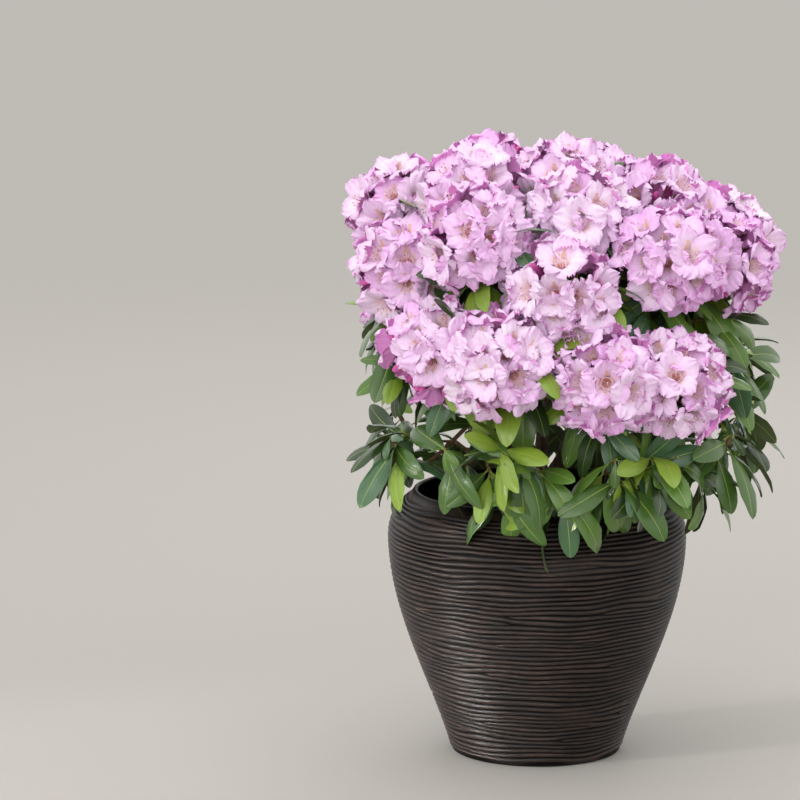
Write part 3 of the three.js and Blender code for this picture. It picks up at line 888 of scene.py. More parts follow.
def spin_profile(name, profile):
    """A profile drawn from one corner by extruding it, then spun into a closed wall."""
    deselect()
    bpy.ops.mesh.primitive_plane_add(size=0.01, location=(0, 0, 0))
    piece = bpy.context.object
    piece.name = name
    bpy.ops.object.mode_set(mode="EDIT")
    bpy.ops.mesh.merge(type="CENTER")
    for step in np.diff(profile, axis=0):
        bpy.ops.mesh.extrude_region_move(
            TRANSFORM_OT_translate={"value": (float(step[0]), 0, float(step[1]))}
        )
    bpy.ops.mesh.select_all(action="SELECT")
    bpy.ops.mesh.spin(steps=POT_COLUMNS, angle=math.tau, center=(0, 0, 0), axis=(0, 0, 1))
    bpy.ops.mesh.select_all(action="SELECT")
    bpy.ops.mesh.remove_doubles(threshold=MERGE)
    bpy.ops.mesh.normals_make_consistent(inside=False)
    bpy.ops.object.mode_set(mode="OBJECT")
    return piece


def fork_phase(turn, along):
    """What pairs of forks add to the ribs' phase: between the two of a pair runs one rib more."""
    chance = seeded(RIB_FORKS.seed)
    stretch = RIB_FORKS.stretch / BELLY_RADIUS
    place = turn + 1j * along * stretch
    phase = np.zeros(len(turn))
    for _ in range(RIB_FORKS.pairs):
        start = chance() * math.tau + 1j * drawn(chance, RIB_FORKS.height) * stretch
        end = start + drawn(chance, RIB_FORKS.apart)
        end += 1j * (chance() - 0.5) * RIB_FORKS.slant * stretch
        phase += np.angle(np.sin((place - start) / 2)) - np.angle(np.sin((place - end) / 2))
    return phase


def rib_pattern(corners, line, pitch):
    """How high each corner stands on its rib, from 0 in a groove to 1 on a ridge, and how deep
    the ribs are there."""
    length = np.sum(np.hypot(*np.diff(line, axis=0).T))
    along = np.interp(corners[:, 2], line[:, 1], np.linspace(0, length, len(line)))
    places = np.column_stack([corners[:, :2] / RIB.wave_round, along / RIB.wave_up])
    phase = math.tau * (along + RIB.wander * noise_over(places)) / pitch
    phase += fork_phase(np.arctan2(corners[:, 1], corners[:, 0]), along)
    groove = (0.5 - 0.5 * np.cos(phase)) ** RIB.sharpness
    places = corners * (1, 1, RIB.patch_squash) / RIB.patch + (0, 0, RIB.patch_start)
    depth = RIB.depth + RIB.patchiness * noise_over(places)
    fading = np.clip((length - along) / RIB.fade, 0, 1)
    return 1 - groove, np.clip(depth, RIB.shallowest, 1) * fading


def model_pot(settings):
    piece = spin_profile("pot_ribbed", pot_profile())
    corners = corners_of(piece)
    radius = np.hypot(corners[:, 0], corners[:, 1])
    line = wall_line(0, FOOT_ROUNDING, RIBBED_ROWS)
    outer = np.interp(corners[:, 2], line[:, 1], line[:, 0])
    ribbed = (radius > outer - WALL / 3) & (corners[:, 2] > FOOT_ROUNDING * 0.9)
    ribbed &= corners[:, 2] < line[-1, 1] + MERGE
    height, depth = rib_pattern(corners[ribbed], line, settings.rib_pitch)
    slope = np.gradient(line[:, 0], line[:, 1])
    leaning = np.interp(corners[ribbed, 2], line[:, 1], slope)
    outward = np.column_stack([corners[ribbed, :2] / radius[ribbed, None], -leaning])
    outward /= np.linalg.norm(outward, axis=1)[:, None]
    sunk = (height - 1) * depth * settings.rib_depth
    corners[ribbed] += outward * sunk[:, None]
    place_corners(piece, corners)
    # The shade attribute carries the painted shade of the grooves: low down in deep grooves, a set
    # level on the smooth parts.
    shade = np.full(len(corners), RIB.smooth)
    shade[ribbed] = 1 - (1 - height) * np.clip(depth * RIB.contrast, 0, 1)
    attribute = piece.data.attributes.new("shade", "FLOAT", "POINT")
    attribute.data.foreach_set("value", shade.astype(np.float32))
    smooth(piece, 60)
    piece.data.materials.append(pot_material(settings))
    belong(piece, ["pot"])


def model_compost(settings):
    """Compost that fills the pot: a crumbly top, then its sides extruded down to the bottom."""
    deselect()
    cells = COMPOST.cells
    bpy.ops.mesh.primitive_grid_add(x_subdivisions=cells, y_subdivisions=cells, size=2)
    piece = bpy.context.object
    piece.name = "compost"
    line = wall_line(WALL + CLEARANCE, WALL + CLEARANCE, COMPOST.rows)
    line = line[line[:, 1] < SOIL_HEIGHT]
    # The square grid is drawn into a round one, with its lumps fading out at the rim.
    corners = corners_of(piece)
    square = np.maximum(np.abs(corners[:, 0]), np.abs(corners[:, 1]))
    far = np.hypot(corners[:, 0], corners[:, 1]) + TINY**2
    radius, height = line[-1, 0] - 1 * MM, SOIL_HEIGHT - COMPOST.sunk
    corners[:, :2] *= (square / far * radius)[:, None]
    lumps = noise_over(corners * (1, 1, 0) / COMPOST.lump, 0.6, 2.1, 4)
    inside = np.clip((1 - square) * COMPOST.edge, 0, 1)
    corners[:, 2] = height + COMPOST.relief * lumps * inside
    place_corners(piece, corners)
    choose(piece)
    bpy.ops.object.mode_set(mode="EDIT")
    bpy.ops.mesh.select_all(action="SELECT")
    bpy.ops.mesh.region_to_loop()
    rings = line[:: -COMPOST.stride]
    for ring_radius, ring_height in rings[rings[:, 1] < height - COMPOST.sunk]:
        bpy.ops.mesh.extrude_edges_move(
            TRANSFORM_OT_translate={"value": (0, 0, float(ring_height - height))}
        )
        scale = float(ring_radius / radius)
        bpy.ops.transform.resize(value=(scale, scale, 1), center_override=(0, 0, 0))
        radius, height = ring_radius, ring_height
    bpy.ops.mesh.edge_face_add()
    bpy.ops.mesh.select_all(action="SELECT")
    bpy.ops.mesh.normals_make_consistent(inside=False)
    bpy.ops.object.mode_set(mode="OBJECT")
    smooth(piece, 50)
    piece.data.materials.append(compost_material(settings))
    belong(piece, ["soil"])


# The wood


def model_trunk():
    """The trunk from a cylinder cut into rings, with its lobed root flare and lean."""
    deselect()
    bpy.ops.mesh.primitive_cylinder_add(
        vertices=TRUNK.sides, radius=1, depth=TRUNK.height, end_fill_type="NGON"
    )
    piece = bpy.context.object
    bpy.ops.object.mode_set(mode="EDIT")
    for share in np.linspace(0, 1, TRUNK.cuts + 2)[1:-1]:
        cut = float((share - 0.5) * TRUNK.height)
        bpy.ops.mesh.select_all(action="SELECT")
        bpy.ops.mesh.bisect(plane_co=(0, 0, cut), plane_no=(0, 0, 1))
    bpy.ops.object.mode_set(mode="OBJECT")
    corners = corners_of(piece)
    share = corners[:, 2] / TRUNK.height + 0.5
    turn = np.arctan2(corners[:, 1], corners[:, 0])
    lobe = 1 + TRUNK.depth * np.cos(TRUNK.lobes * turn)
    flare = 1 + TRUNK.flare * np.exp(-TRUNK.fade * share) * lobe
    corners[:, :2] *= ((TRUNK.foot + (TRUNK.top - TRUNK.foot) * share) * flare)[:, None]
    corners[:, 0] += TRUNK.lean * share
    corners[:, 2] = SOIL_TOP + TRUNK.height * share
    place_corners(piece, corners)
    return piece


def limb_curve(line, start, end):
    """A stem or bough: a curve with a round bevel that tapers, made a mesh."""
    deselect()
    data = bpy.data.curves.new("limb", "CURVE")
    data.dimensions = "3D"
    data.bevel_depth = 1
    data.bevel_resolution = 4
    data.use_fill_caps = True
    spline = data.splines.new("POLY")
    spline.points.add(len(line) - 1)
    for i, (point, place) in enumerate(zip(spline.points, line)):
        point.co = (*place, 1)
        point.radius = start + (end - start) * i / (len(line) - 1)
    piece = bpy.data.objects.new("limb", data)
    bpy.context.scene.collection.objects.link(piece)
    choose(piece)
    bpy.ops.object.convert(target="MESH")
    return bpy.context.object


def model_limbs(settings):
    """Trunk, stems and boughs, grown into one skin and given the relief of flaking bark."""
    plan = crown()
    limbs = [(stem, STEM) for stem in plan.stems]
    limbs += [(mass.bough, BOUGH) for mass in plan.masses]
    parts = [model_trunk()]
    parts += [limb_curve(line[::LIMB_STRIDE], limb.start, limb.end) for line, limb in limbs]
    deselect()
    for part in parts:
        part.select_set(True)
    piece = parts[0]
    bpy.context.view_layer.objects.active = piece
    bpy.ops.object.join()
    piece.name = "bark"
    skin = piece.modifiers.new("Skin", "REMESH")
    skin.mode = "VOXEL"
    skin.voxel_size = BARK.voxel
    bpy.ops.object.modifier_apply(modifier="Skin")
    corners = corners_of(piece)
    normals = np.empty(corners.size)
    piece.data.vertices.foreach_get("normal", normals)
    flakes = noise_over(corners * (1, 1, BARK.drawn) / BARK.flake, 0.7, 2.0, 3)
    place_corners(piece, corners + normals.reshape(-1, 3) * (BARK.relief * flakes)[:, None])
    smooth(piece, 60)
    bark = bark_material("Flaking Bark", settings.bark, settings.crevice, 160)
    piece.data.materials.append(bark)
    names = [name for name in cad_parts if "stem" in name or "bough" in name]
    belong(piece, ["trunk", *names])


def model_twigs(settings):
    plan = crown()
    twigs = Gathering()
    for shoot in plan.shoots:
        radii = np.linspace(TWIG.start, TWIG.end, len(shoot.twig))
        radii[-SHOOT.points :] = SHOOT.radius
        radii[-1] = TWIG.tip
        twigs.add(tube(shoot.twig, radii, TWIG.sides))
    for whorl in (whorl for mass in plan.masses for whorl in mass.whorls):
        middle = (whorl.foot + whorl.tip) / 2 - UP * SIDE_TWIG.sag
        line = even_line([whorl.foot, middle, whorl.tip], SIDE_TWIG.steps)
        radii = np.linspace(SIDE_TWIG.start, SIDE_TWIG.end, len(line))
        radii[-1] = SIDE_TWIG.tip
        twigs.add(tube(line, radii, SIDE_TWIG.sides))
    dark = tuple(0.5 * part for part in settings.twig)
    piece = twigs.piece("twigs", [bark_material("Young Rind", settings.twig, dark, 220)])
    belong(piece, [])


# Leaves


def leaf_shape(chance, width, arch):
    """A leaf one unit long: a stalk, an oval blade with a short point, a sunken midrib and gently
    waved edges. It arches over by some angle along its length."""
    shares = np.array(LEAF.rows)
    blade = np.clip((shares - LEAF.stalk) / (1 - LEAF.stalk), 0, 1)
    half = width / 2 * np.sin(math.pi * blade ** LEAF.lowness) ** LEAF.fullness
    narrowest = np.where(shares < LEAF.stalk_end, LEAF.stalk_half, LEAF.tip_half)
    half = np.maximum(half, narrowest)
    rib = np.minimum(LEAF.rib - LEAF.rib_lost * shares, half * 0.8)
    columns = np.stack([-half, -(half + rib) / 2, -rib, rib, (half + rib) / 2, half], 1)
    out = np.abs(columns) / half[:, None]
    full = np.sin(math.pi * blade)[:, None]
    fold = drawn(chance, LEAF.fold)
    roll = drawn(chance, LEAF.roll) * full
    wave = drawn(chance, LEAF.wave) * full
    ripples, phase = drawn(chance, LEAF.ripples), math.tau * chance()
    turns = math.tau * ripples * shares[:, None] + phase * np.sign(columns)
    lift = fold * np.abs(columns) - roll * out**3 + wave * out**2 * np.sin(turns)
    lift[:, 2:4] -= LEAF.rib_sunk  # the two columns beside the midrib
    # The way that the leaf heads falls along its length, and then curls at its tip.
    rise = LEAF.rise + LEAF.rise_spread * (chance() - 0.5)
    bend = arch + LEAF.bend * chance()
    curl = LEAF.curl * max(0, chance() - LEAF.uncurled) * np.clip(2 * shares - 1, 0, 1) ** 2
    heading = rise - bend * shares - 2 * curl
    middle = (heading[1:] + heading[:-1]) / 2
    along = np.r_[0, np.cumsum(np.diff(shares) * np.cos(middle))]
    up = np.r_[0, np.cumsum(np.diff(shares) * np.sin(middle))]
    sway = LEAF.sway * (chance() - 0.5) * shares**2
    twist = (LEAF.twist * (chance() - 0.5) * shares)[:, None]
    x = columns * np.cos(twist) - lift * np.sin(twist)
    z = columns * np.sin(twist) + lift * np.cos(twist)
    grid = np.stack([
        -(x + sway[:, None]),
        along[:, None] - z * np.sin(heading)[:, None],
        up[:, None] + z * np.cos(heading)[:, None],
    ], -1)
    corners, faces, source = two_sided(grid, LEAF.thickness)
    ribbed = np.zeros((len(shares) - 1, columns.shape[1] - 1), bool)
    ribbed[0], ribbed[:, 2] = True, True
    kinds = np.r_[np.where(ribbed.ravel(), 1, 0), np.where(ribbed.ravel(), 1, 2)]
    places = np.stack([0.5 - columns / width, np.repeat(shares[:, None], columns.shape[1], 1)], -1)
    return dict(corners=corners, faces=faces, kinds=kinds, map=places.reshape(-1, 2)[source])


def leaf_way(whorl, index, count):
    """The way that one leaf of a whorl points, as in the frame's rule."""
    chance, facing = whorl.chance, whorl.facing
    side = unit([-facing[1], facing[0], 0.0])
    across = np.cross(facing, side)
    turn = GOLDEN_TURN * index + (chance() - 0.5) * WHORL.turn_spread
    rise = WHORL.rise - WHORL.rise_lost * index / count
    rise += (chance() - 0.5) * WHORL.rise_spread + whorl.lift
    flat = side * math.cos(turn) + across * math.sin(turn)
    way = flat * math.cos(rise) + facing * math.sin(rise)
    way[2] -= drawn(chance, WHORL.droop) + whorl.hang
    return unit(way)


def is_free(spine, balls):
    """Whether a leaf's middle line keeps out of the pot and the flowers, and in the frame."""
    if np.any(spine < FRAME_LOW - FRAME_ROOM) or np.any(spine > FRAME_HIGH + FRAME_ROOM):
        return False
    low = spine[spine[:, 2] < POT_HEIGHT + POT_ROOM]
    if len(low) and np.any(np.hypot(low[:, 0], low[:, 1]) < outer_radius(low[:, 2]) + POT_ROOM):
        return False
    outer = spine[len(spine) // 3 :]
    return bool(np.all(np.linalg.norm(outer[:, None] - balls[None], axis=2) > BALL_ROOM))


def leaf_turn(way, facing, roll):
    """The matrix that lays a leaf along a way with its upper side up and outwards, but for a
    roll about its own length."""
    side = unit(np.cross(way, UP + facing))
    side = side * math.cos(roll) + np.cross(side, way) * math.sin(roll)
    return np.column_stack([side, way, np.cross(side, way)])


def habit_of(whorl):
    return "hanging" if whorl.hang > HANGING else "spreading"


def spray_green(whorl):
    """A spray's main green, with painted light and shade: yellower on the crown's -X side, darker
    where it hangs.
    """
    shares = np.array(SPRAY_GREENS[habit_of(whorl)])
    # Painted shade on the +X side, away from the lamps: the bluish and yellowish shares swap there.
    if whorl.tip[0] > CROWN_OFFSET:
        shares[[2, 3]] = shares[[3, 2]]
    return min(len(GREENS) - 1, int(np.searchsorted(np.cumsum(shares), whorl.chance())))


def grow_whorl(gathering, shapes, full_length, balls, whorl, count, size, below, depth):
    """A whorl of leaves on one shoot. A leaf that isn't free is tried at other angles."""
    chance = whorl.chance
    usual = spray_green(whorl)
    for index in range(count):
        base = whorl.tip - whorl.facing * (below + depth * index / count)
        for attempt in range(WHORL.attempts):
            way = leaf_way(whorl, index, count)
            grown = WHORL.smallest + (1 - WHORL.smallest) * chance()
            length = full_length * size * grown * (1 - WHORL.shrink * attempt)
            spine = base + way * length * np.linspace(0.1, 1, 7)[:, None]
            if not is_free(spine, balls):
                continue
            green = usual if chance() < SPRAY_SHARE else int(len(GREENS) * chance())
            shape = shapes[habit_of(whorl)][int(LEAF_SHAPES * chance())]
            turn = leaf_turn(way, whorl.facing, WHORL.roll * (chance() - 0.5))
            gathering.add(shape, [green, len(GREENS), len(GREENS) + 1], turn, base, length)
            break


def model_leaves(settings):
    plan = crown()
    chance = seeded(LEAF.seed)
    width = settings.width / settings.length
    shapes = {
        habit: [leaf_shape(chance, width, arch) for _ in range(LEAF_SHAPES)]
        for habit, arch in LEAF_ARCHES.items()
    }
    balls = np.array([shoot.tip for shoot in plan.shoots if shoot.flowers])
    skins = [leaf_material(name, getattr(settings, green)) for green, name in GREENS.items()]
    skins.append(soft_material("Midrib", settings.midrib, 0.55))
    skins.append(soft_material("Leaf Underside", settings.underside, 0.75))
    for mass in plan.masses:
        gathering = Gathering()
        grow = functools.partial(grow_whorl, gathering, shapes, settings.length, balls)
        for shoot in mass.shoots:
            below = WHORL.below_ball if shoot.flowers else WHORL.below_tip
            count = settings.count if shoot.hang < HANGING else settings.count // 2
            grow(shoot, count, 1, below, WHORL.depth)
            if not shoot.flowers:
                grow(shoot, **TIP_WHORL)
        for whorl in mass.whorls:
            grow(whorl, **SIDE_WHORL)
        piece = gathering.piece(mass.name.replace("mass", "leaves"), skins)
        belong(piece, [mass.name])


# Flowers


def lobe_shape(chance, settings, upper):
    """One lobe of a flower, looking along +Z and pointing along +X: it flares from the throat,
    rolls back at its tip, and its edges wave."""
    rows, columns, widest = LOBE.rows, LOBE.columns, LOBE.widest
    length = settings.lobe_length * drawn(chance, LOBE.length)
    width = settings.lobe_width * drawn(chance, LOBE.width)
    # The lobe's middle line leans outwards more and more.
    fine = np.linspace(0, 1, LOBE.fine)
    roll = drawn(chance, LOBE.roll) + LOBE.lower_roll * (1 - upper)
    lean = np.radians(LOBE.lean + roll * fine)
    middle, step = (lean[1:] + lean[:-1]) / 2, length / (LOBE.fine - 1)
    radius = LOBE.throat + np.r_[0, np.cumsum(np.sin(middle) * step)]
    height = LOBE.foot + np.r_[0, np.cumsum(np.cos(middle) * step)]
    # Its width swells from the claw and then rounds off.
    share = np.linspace(0, 1, rows + 1)[:, None] ** LOBE.spacing
    x = np.linspace(-1, 1, columns + 1)[None]
    swell = np.sin(math.pi / 2 * np.clip(share / widest, 0, 1)) ** LOBE.swell
    round_off = np.sqrt(np.clip(1 - (np.clip(share - widest, 0, 1) / LOBE.round) ** 2, 0, 1))
    swelling = LOBE.claw + (width / 2 - LOBE.claw) * swell
    half = np.where(share < widest, swelling, width / 2 * round_off)
    # Its tip is notched and its edges are scalloped and frilled. The whole numbers count how fast
    # the waves run across it.
    phase, second = math.tau * chance(), math.tau * chance()
    ripples = drawn(chance, LOBE.ripples)
    notch = LOBE.notch * np.exp(-((x / LOBE.notch_width) ** 2))
    scallops = LOBE.scallop * (np.sin(7 * x + phase) + np.sin(13 * x + second)) * share**2
    at = np.clip(share * (1 - LOBE.tip * x**2 - notch + scallops), 0, 1)
    across = x * half * (1 + 0.05 * np.sin(7 * share + phase))
    ripple = share**1.8 * (0.6 + 0.4 * np.abs(x) ** 1.4)
    lift = settings.frill * ripple * np.sin(ripples * x + second + 3.2 * share)
    lift += 0.5 * settings.frill * share * np.sin(4 * x + 2 * phase)
    lift += drawn(chance, LOBE.cup) * across - 0.1 * settings.lobe_width * share * x**2
    lift += LOBE.crease * np.cos(math.pi * x) * share
    lean_at, radius_at = np.interp(at, fine, lean), np.interp(at, fine, radius)
    radial = radius_at - lift * np.cos(lean_at) - across**2 / (2 * radius_at) * (1 - at) ** 2
    upward = np.interp(at, fine, height) + lift * np.sin(lean_at)
    corners, faces, _ = two_sided(np.stack([radial, across, upward], -1), LOBE.thickness)
    # The tint deepens outwards, unevenly, in three zones. The upper lobe has a blotch.
    centre = (share[1:] + share[:-1]) / 2
    centre = centre + LOBE.tint_fall * np.abs((x[:, 1:] + x[:, :-1]) / 2) ** 3
    centre = centre + LOBE.tint_wave * np.sin(9 * x[:, 1:] + second)
    front = np.digitize(centre, LOBE.tint_steps)
    front[0, 2:-2] = FACES["glow"]
    if upper:
        front[0, columns // 2 - 2 : columns // 2 + 2] = FACES["blotch"]
        front[1, columns // 2 - 1 : columns // 2 + 1] = FACES["blotch"]
    kinds = np.r_[front.ravel(), np.full(front.size, FACES["back"])]
    return dict(corners=corners, faces=faces, kinds=kinds)


def flower_shape(seed, settings):
    """An open flower that stands on its base and looks along +Z."""
    chance = seeded(seed)
    sides, lobes = FUNNEL.sides, FUNNEL.lobes
    radii, heights = np.array(FUNNEL_RADII) * MM, np.array(FUNNEL_HEIGHTS) * MM
    walls = (len(radii) - 1) * sides
    funnel = painted(spun(radii, heights, sides, FUNNEL.pleat), FACES["back"])
    funnel["kinds"][FUNNEL.glow * sides : walls] = FACES["glow"]
    funnel["kinds"][FUNNEL.throat * sides : walls] = FACES["throat"]
    funnel["kinds"][1 - sides // 2 :] = FACES["throat"]
    shapes = [funnel]
    for i in range(lobes):
        lobe = lobe_shape(chance, settings, i == 0)
        turn = math.tau * i / lobes + FUNNEL.stray * (chance() - 0.5)
        lobe["corners"] = lobe["corners"] @ turned(turn).T
        shapes.append(lobe)
    return joined(shapes)


def stamens_shape(seed):
    """The threads that stand in the throat, each with a tip, and the longer style."""
    # In millimetres, a thread leaves the throat, bows back and reaches out and up.
    chance = seeded(seed)
    shapes = []
    for i in range(FUNNEL.lobes):
        turn = math.tau * i / FUNNEL.lobes + 0.5 * chance()
        out = 4 + 5 * chance()
        round_throat = np.array([math.cos(turn), math.sin(turn), 0])
        start = 1.5 * round_throat + 5 * UP
        end = out * round_throat + (26 + 6 * chance()) * UP - (3, 0, 0)
        middle = (start + end) / 2 - (2, 0, 0)
        thread = tube(np.array([start, middle, end]) * MM, [0.35 * MM] * 3, 4)
        grain = end + unit(end - middle) * np.array([-0.4, 0.8, 2.0])[:, None]
        anther = tube(grain * MM, np.array([0.3, 0.85, 0.2]) * MM, 4)
        shapes += [painted(thread, THREAD), painted(anther, ANTHER)]
    style = even_line([[0, 0, 5 * MM], [-2 * MM, 0, 22 * MM], [3 * MM, 0, 36 * MM]], 4)
    style = tube(style, np.array([0.4, 0.4, 0.4, 0.5, 0.8]) * MM, 4)
    return joined([*shapes, painted(style, THREAD)])


def bud_shape(seed):
    """An unopened flower: a long pleated bud that stands on its base."""
    chance = seeded(seed)
    shares = np.linspace(0, 1, 8)
    radii = (0.6 + (4 + chance()) * np.sin(math.pi * shares**1.5) ** 0.7) * MM
    radii[0], radii[-1] = 1.4 * MM, 0.5 * MM
    return painted(spun(radii, 29 * MM * shares, 10, 0.16), 0)


def truss_ways(shoot, count):
    """The ways that the flowers of one ball look, even over a dome, with a little scatter."""
    turn = facing_frame(shoot.facing, UP)
    ways = []
    for k in range(count):
        level = 1 - (k + 0.5) / count * (1 - math.cos(TRUSS.widest))
        angle = shoot.spin + GOLDEN_TURN * k
        out = math.sqrt(1 - level * level)
        way = turn @ np.array([out * math.cos(angle), out * math.sin(angle), level])
        ways.append(unit(way + scatter(shoot.chance, TRUSS.scatter)))
    return ways


def flower_top(way, chance):
    """Where a flower's upper lobe lies: upwards, give or take."""
    top = UP + scatter(chance, TRUSS.top_scatter)
    return top if abs(way @ unit(top)) < 0.97 else np.array([chance() - 0.5, -1.0, 0.1])


def grow_truss(petals, fine, shoot, others, shapes, settings):
    """The flowers of one ball with their stalks, and the dry scales of the bud they came from."""
    chance = shoot.chance
    budding = TUFT_BUDDING if shoot.tufted else TRUSS.budding
    tint = chance()
    foot = shoot.tip - shoot.facing * TRUSS.scales
    wrapped = foot + shoot.facing * np.array([-9, -4, 3, 10])[:, None] * MM
    fine.add(tube(wrapped, np.array([3, 5.5, 5.8, 1]) * MM, 8), [SCALE])
    for way in truss_ways(shoot, settings.flowers):
        rim = shoot.tip + way * TRUSS.rim
        if np.min(np.linalg.norm(others - rim, axis=1)) < TRUSS.crowded:
            continue
        base = shoot.tip + way * (TRUSS.base + TRUSS.base_spread * (chance() - 0.5))
        turn = facing_frame(way, flower_top(way, chance))
        size = drawn(chance, TRUSS.size)
        stalk = even_line([foot, (foot + base) / 2 + way * TRUSS.bow, base + way * MM], 3)
        fine.add(tube(stalk, [TRUSS.stalk] * 4, 4), [STALK])
        if chance() < budding:
            for _ in range(BUDS_IN_TUFT):
                bud_way = unit(way + scatter(chance, TRUSS.scatter))
                bud = shapes["buds"][int(SPARE_SHAPES * chance())]
                petals.add(bud, [SKINS["bud"]], facing_frame(bud_way, UP), base, size)
            continue
        if chance() < TRUSS.young:
            size, dealt = size * TRUSS.young_size, len(TRUSS.tint_steps)
        else:
            mixed = TRUSS.ball_tint * tint + (1 - TRUSS.ball_tint) * chance()
            dealt = int(np.digitize(mixed, TRUSS.tint_steps))
        flower = shapes["flowers"][int(FLOWER_SHAPES * chance())]
        skins = [SKINS[skin] for skin in ("back", "blotch", "throat", "glow")]
        petals.add(flower, [dealt, dealt + 1, dealt + 2, *skins], turn, base, size)
        stamens = shapes["stamens"][int(SPARE_SHAPES * chance())]
        fine.add(stamens, [THREAD, ANTHER], turn, base, size)


def model_blossom(settings):
    shapes = dict(
        flowers=[flower_shape(FLOWER_SEED + i, settings) for i in range(FLOWER_SHAPES)],
        stamens=[stamens_shape(STAMEN_SEED + i) for i in range(SPARE_SHAPES)],
        buds=[bud_shape(BUD_SEED + i) for i in range(SPARE_SHAPES)],
    )
    pale, deep = np.array(settings.pale), np.array(settings.deep)
    skins = [
        petal_material(f"Petal {i + 1}", pale * (1 - share) + deep * share)
        for i, share in enumerate(np.linspace(0, 1, PETAL_TINTS))
    ]
    skins += [petal_material(name, getattr(settings, skin)) for skin, name in PETAL_SKINS.items()]
    fine_skins = [
        soft_material(name, getattr(settings, skin), roughness)
        for skin, (name, roughness) in FINE_SKINS.items()
    ]
    trusses = [shoot for shoot in crown().shoots if shoot.flowers]
    fine = Gathering()
    for mass in crown().masses:
        flowering = [shoot for shoot in mass.shoots if shoot.flowers]
        if not flowering:
            continue
        petals = Gathering()
        for shoot in flowering:
            others = np.array([truss.tip for truss in trusses if truss is not shoot])
            grow_truss(petals, fine, shoot, others, shapes, settings)
        piece = petals.piece(mass.name.replace("mass", "petals"), skins, 75)
        belong(piece, [mass.name])
    belong(fine.piece("stamens_and_stalks", fine_skins), [])


# The stage

FLOOR_SIZE = 80
CAMERA_PLACE = (0, -5.572, 1.387)
CAMERA_PITCH = math.radians(9.3)
CAMERA_YAW = math.atan(139.5 / 4230)
CAMERA_LENS = 190.35
SENSOR = 36
CROWN_MIDDLE = (0.03, 0, 0.5)
POT_FOOT = (0, 0, 0.06)
# Each lamp's place, what it is aimed at and how wide it is. The side lamp is low and narrow: it
# gives the pot the sheen on its -X side and leaves the crown alone.
LAMPS = dict(
    key=((-2.4, -3.0, 3.0), CROWN_MIDDLE, 1.6),
    top=((-0.5, -0.7, 3.3), CROWN_MIDDLE, 1.5),
    side=((-3.0, -1.3, 0.3), POT_FOOT, 1.0),
    fill=((-0.6, -4.6, 1.8), CROWN_MIDDLE, 2.8),
    rim=((0.8, 2.8, 2.6), CROWN_MIDDLE, 2.2),
)
SIDE_LAMP = dict(shape="RECTANGLE", size_y=0.3, spread=math.radians(12))


def aimed(place, way):
    """The matrix of a lamp or camera at a place that looks along a way."""
    return Matrix.Translation(place) @ Vector(way).to_track_quat("-Z", "Y").to_matrix().to_4x4()


def add_lamp(name, place, target, size, power):
    bpy.ops.object.light_add(type="AREA", location=place)
    lamp = bpy.context.object
    lamp.name = name
    lamp.data.size = size
    lamp.data.energy = power
    lamp.matrix_world = aimed(place, Vector(target) - Vector(place))
    return lamp.data


def add_camera():
    bpy.ops.object.camera_add(location=CAMERA_PLACE)
    camera = bpy.context.object
    camera.name = "photo_camera"
    ahead = math.cos(CAMERA_PITCH)
    way = (-math.sin(CAMERA_YAW) * ahead, math.cos(CAMERA_YAW) * ahead, -math.sin(CAMERA_PITCH))
    camera.matrix_world = aimed(CAMERA_PLACE, way)
    camera.data.sensor_width = SENSOR
    camera.data.lens = CAMERA_LENS
    camera.data.clip_end = 200
    bpy.context.scene.camera = camera


def set_stage(settings):
    deselect()
    bpy.ops.mesh.primitive_plane_add(size=FLOOR_SIZE, location=(0, FLOOR_SIZE / 4, 0))
    floor = bpy.context.object
    floor.name = "studio_floor"
    floor.data.materials.append(floor_material(settings))
    floor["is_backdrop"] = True
    lamps = {name: add_lamp(name, *lamp, getattr(settings, name)) for name, lamp in LAMPS.items()}
    for name, value in SIDE_LAMP.items():
        setattr(lamps["side"], name, value)
    world = bpy.data.worlds.new("Studio")
    bpy.context.scene.world = world
    world.use_nodes = True
    sky = {"Color": (1, 1, 1, 1), "Strength": settings.sky}
    connect(world.node_tree, world.node_tree.nodes["Background"], sky)
    add_camera()
    bpy.context.scene.view_settings.view_transform = "Standard"


# The add-on


class PLANT_OT_add_pot(bpy.types.Operator):
    """Model the ribbed pot"""

    bl_idname = "plant.add_pot"
    bl_label = "Add Pot"

    def execute(self, context):
        model_pot(context.scene.plant_pot)
        return {"FINISHED"}


class PLANT_OT_add_compost(bpy.types.Operator):
    """Fill the pot with compost"""

    bl_idname = "plant.add_compost"
    bl_label = "Add Compost"

    def execute(self, context):
        model_compost(context.scene.plant_pot)
        return {"FINISHED"}


class PLANT_OT_add_limbs(bpy.types.Operator):
    """Grow the trunk, stems and boughs"""

    bl_idname = "plant.add_limbs"
    bl_label = "Add Limbs"

    def execute(self, context):
        model_limbs(context.scene.plant_wood)
        return {"FINISHED"}


class PLANT_OT_add_twigs(bpy.types.Operator):
    """Grow the twigs and shoots on from the boughs"""

    bl_idname = "plant.add_twigs"
    bl_label = "Add Twigs"

    def execute(self, context):
        model_twigs(context.scene.plant_wood)
        return {"FINISHED"}


class PLANT_OT_add_leaves(bpy.types.Operator):
    """Grow a whorl of leaves on each shoot and side twig"""

    bl_idname = "plant.add_leaves"
    bl_label = "Add Leaves"

    def execute(self, context):
        model_leaves(context.scene.plant_leaf)
        return {"FINISHED"}


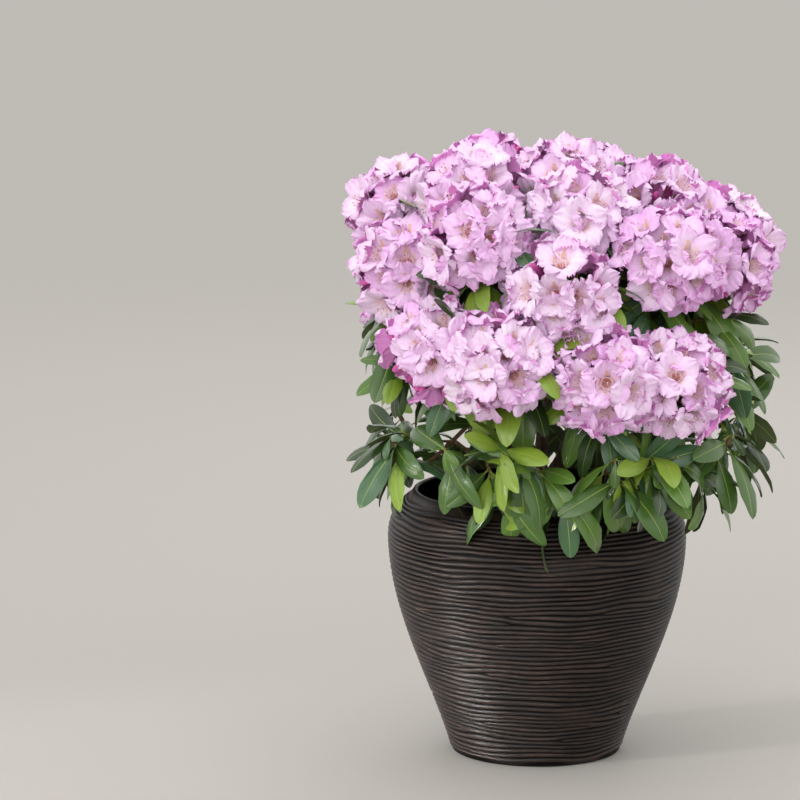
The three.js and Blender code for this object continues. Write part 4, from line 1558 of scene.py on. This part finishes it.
class PLANT_OT_add_blossom(bpy.types.Operator):
    """Grow a ball of flowers on each flowering shoot"""

    bl_idname = "plant.add_blossom"
    bl_label = "Add Blossom"

    def execute(self, context):
        model_blossom(context.scene.plant_blossom)
        return {"FINISHED"}


class PLANT_OT_set_stage(bpy.types.Operator):
    """Set the floor, the lamps and the camera"""

    bl_idname = "plant.set_stage"
    bl_label = "Set Stage"

    def execute(self, context):
        set_stage(context.scene.plant_stage)
        return {"FINISHED"}


OPERATORS = (
    PLANT_OT_add_pot,
    PLANT_OT_add_compost,
    PLANT_OT_add_limbs,
    PLANT_OT_add_twigs,
    PLANT_OT_add_leaves,
    PLANT_OT_add_blossom,
    PLANT_OT_set_stage,
)
SETTINGS = {
    "plant_pot": PotSettings,
    "plant_wood": WoodSettings,
    "plant_leaf": LeafSettings,
    "plant_blossom": BlossomSettings,
    "plant_stage": StageSettings,
}


class PLANT_PT_parts(bpy.types.Panel):
    """The plant's parts, each with its settings"""

    bl_idname = "PLANT_PT_parts"
    bl_label = "Potted Rhododendron"
    bl_space_type = "VIEW_3D"
    bl_region_type = "UI"
    bl_category = "Plant"

    def draw(self, context):
        for operator in OPERATORS:
            self.layout.operator(operator.bl_idname)
        for name, group in SETTINGS.items():
            box = self.layout.box()
            for prop in group.__annotations__:
                box.prop(getattr(context.scene, name), prop)


def register():
    for cls in (*SETTINGS.values(), *OPERATORS, PLANT_PT_parts):
        bpy.utils.register_class(cls)
    for name, group in SETTINGS.items():
        setattr(bpy.types.Scene, name, PointerProperty(type=group))


def unregister():
    for name in SETTINGS:
        delattr(bpy.types.Scene, name)
    for cls in (PLANT_PT_parts, *OPERATORS, *SETTINGS.values()):
        bpy.utils.unregister_class(cls)


def main():
    register()
    bpy.ops.plant.add_pot()
    bpy.ops.plant.add_compost()
    bpy.ops.plant.add_limbs()
    bpy.ops.plant.add_twigs()
    bpy.ops.plant.add_leaves()
    bpy.ops.plant.add_blossom()
    bpy.ops.plant.set_stage()


if __name__ == "__main__":
    main()
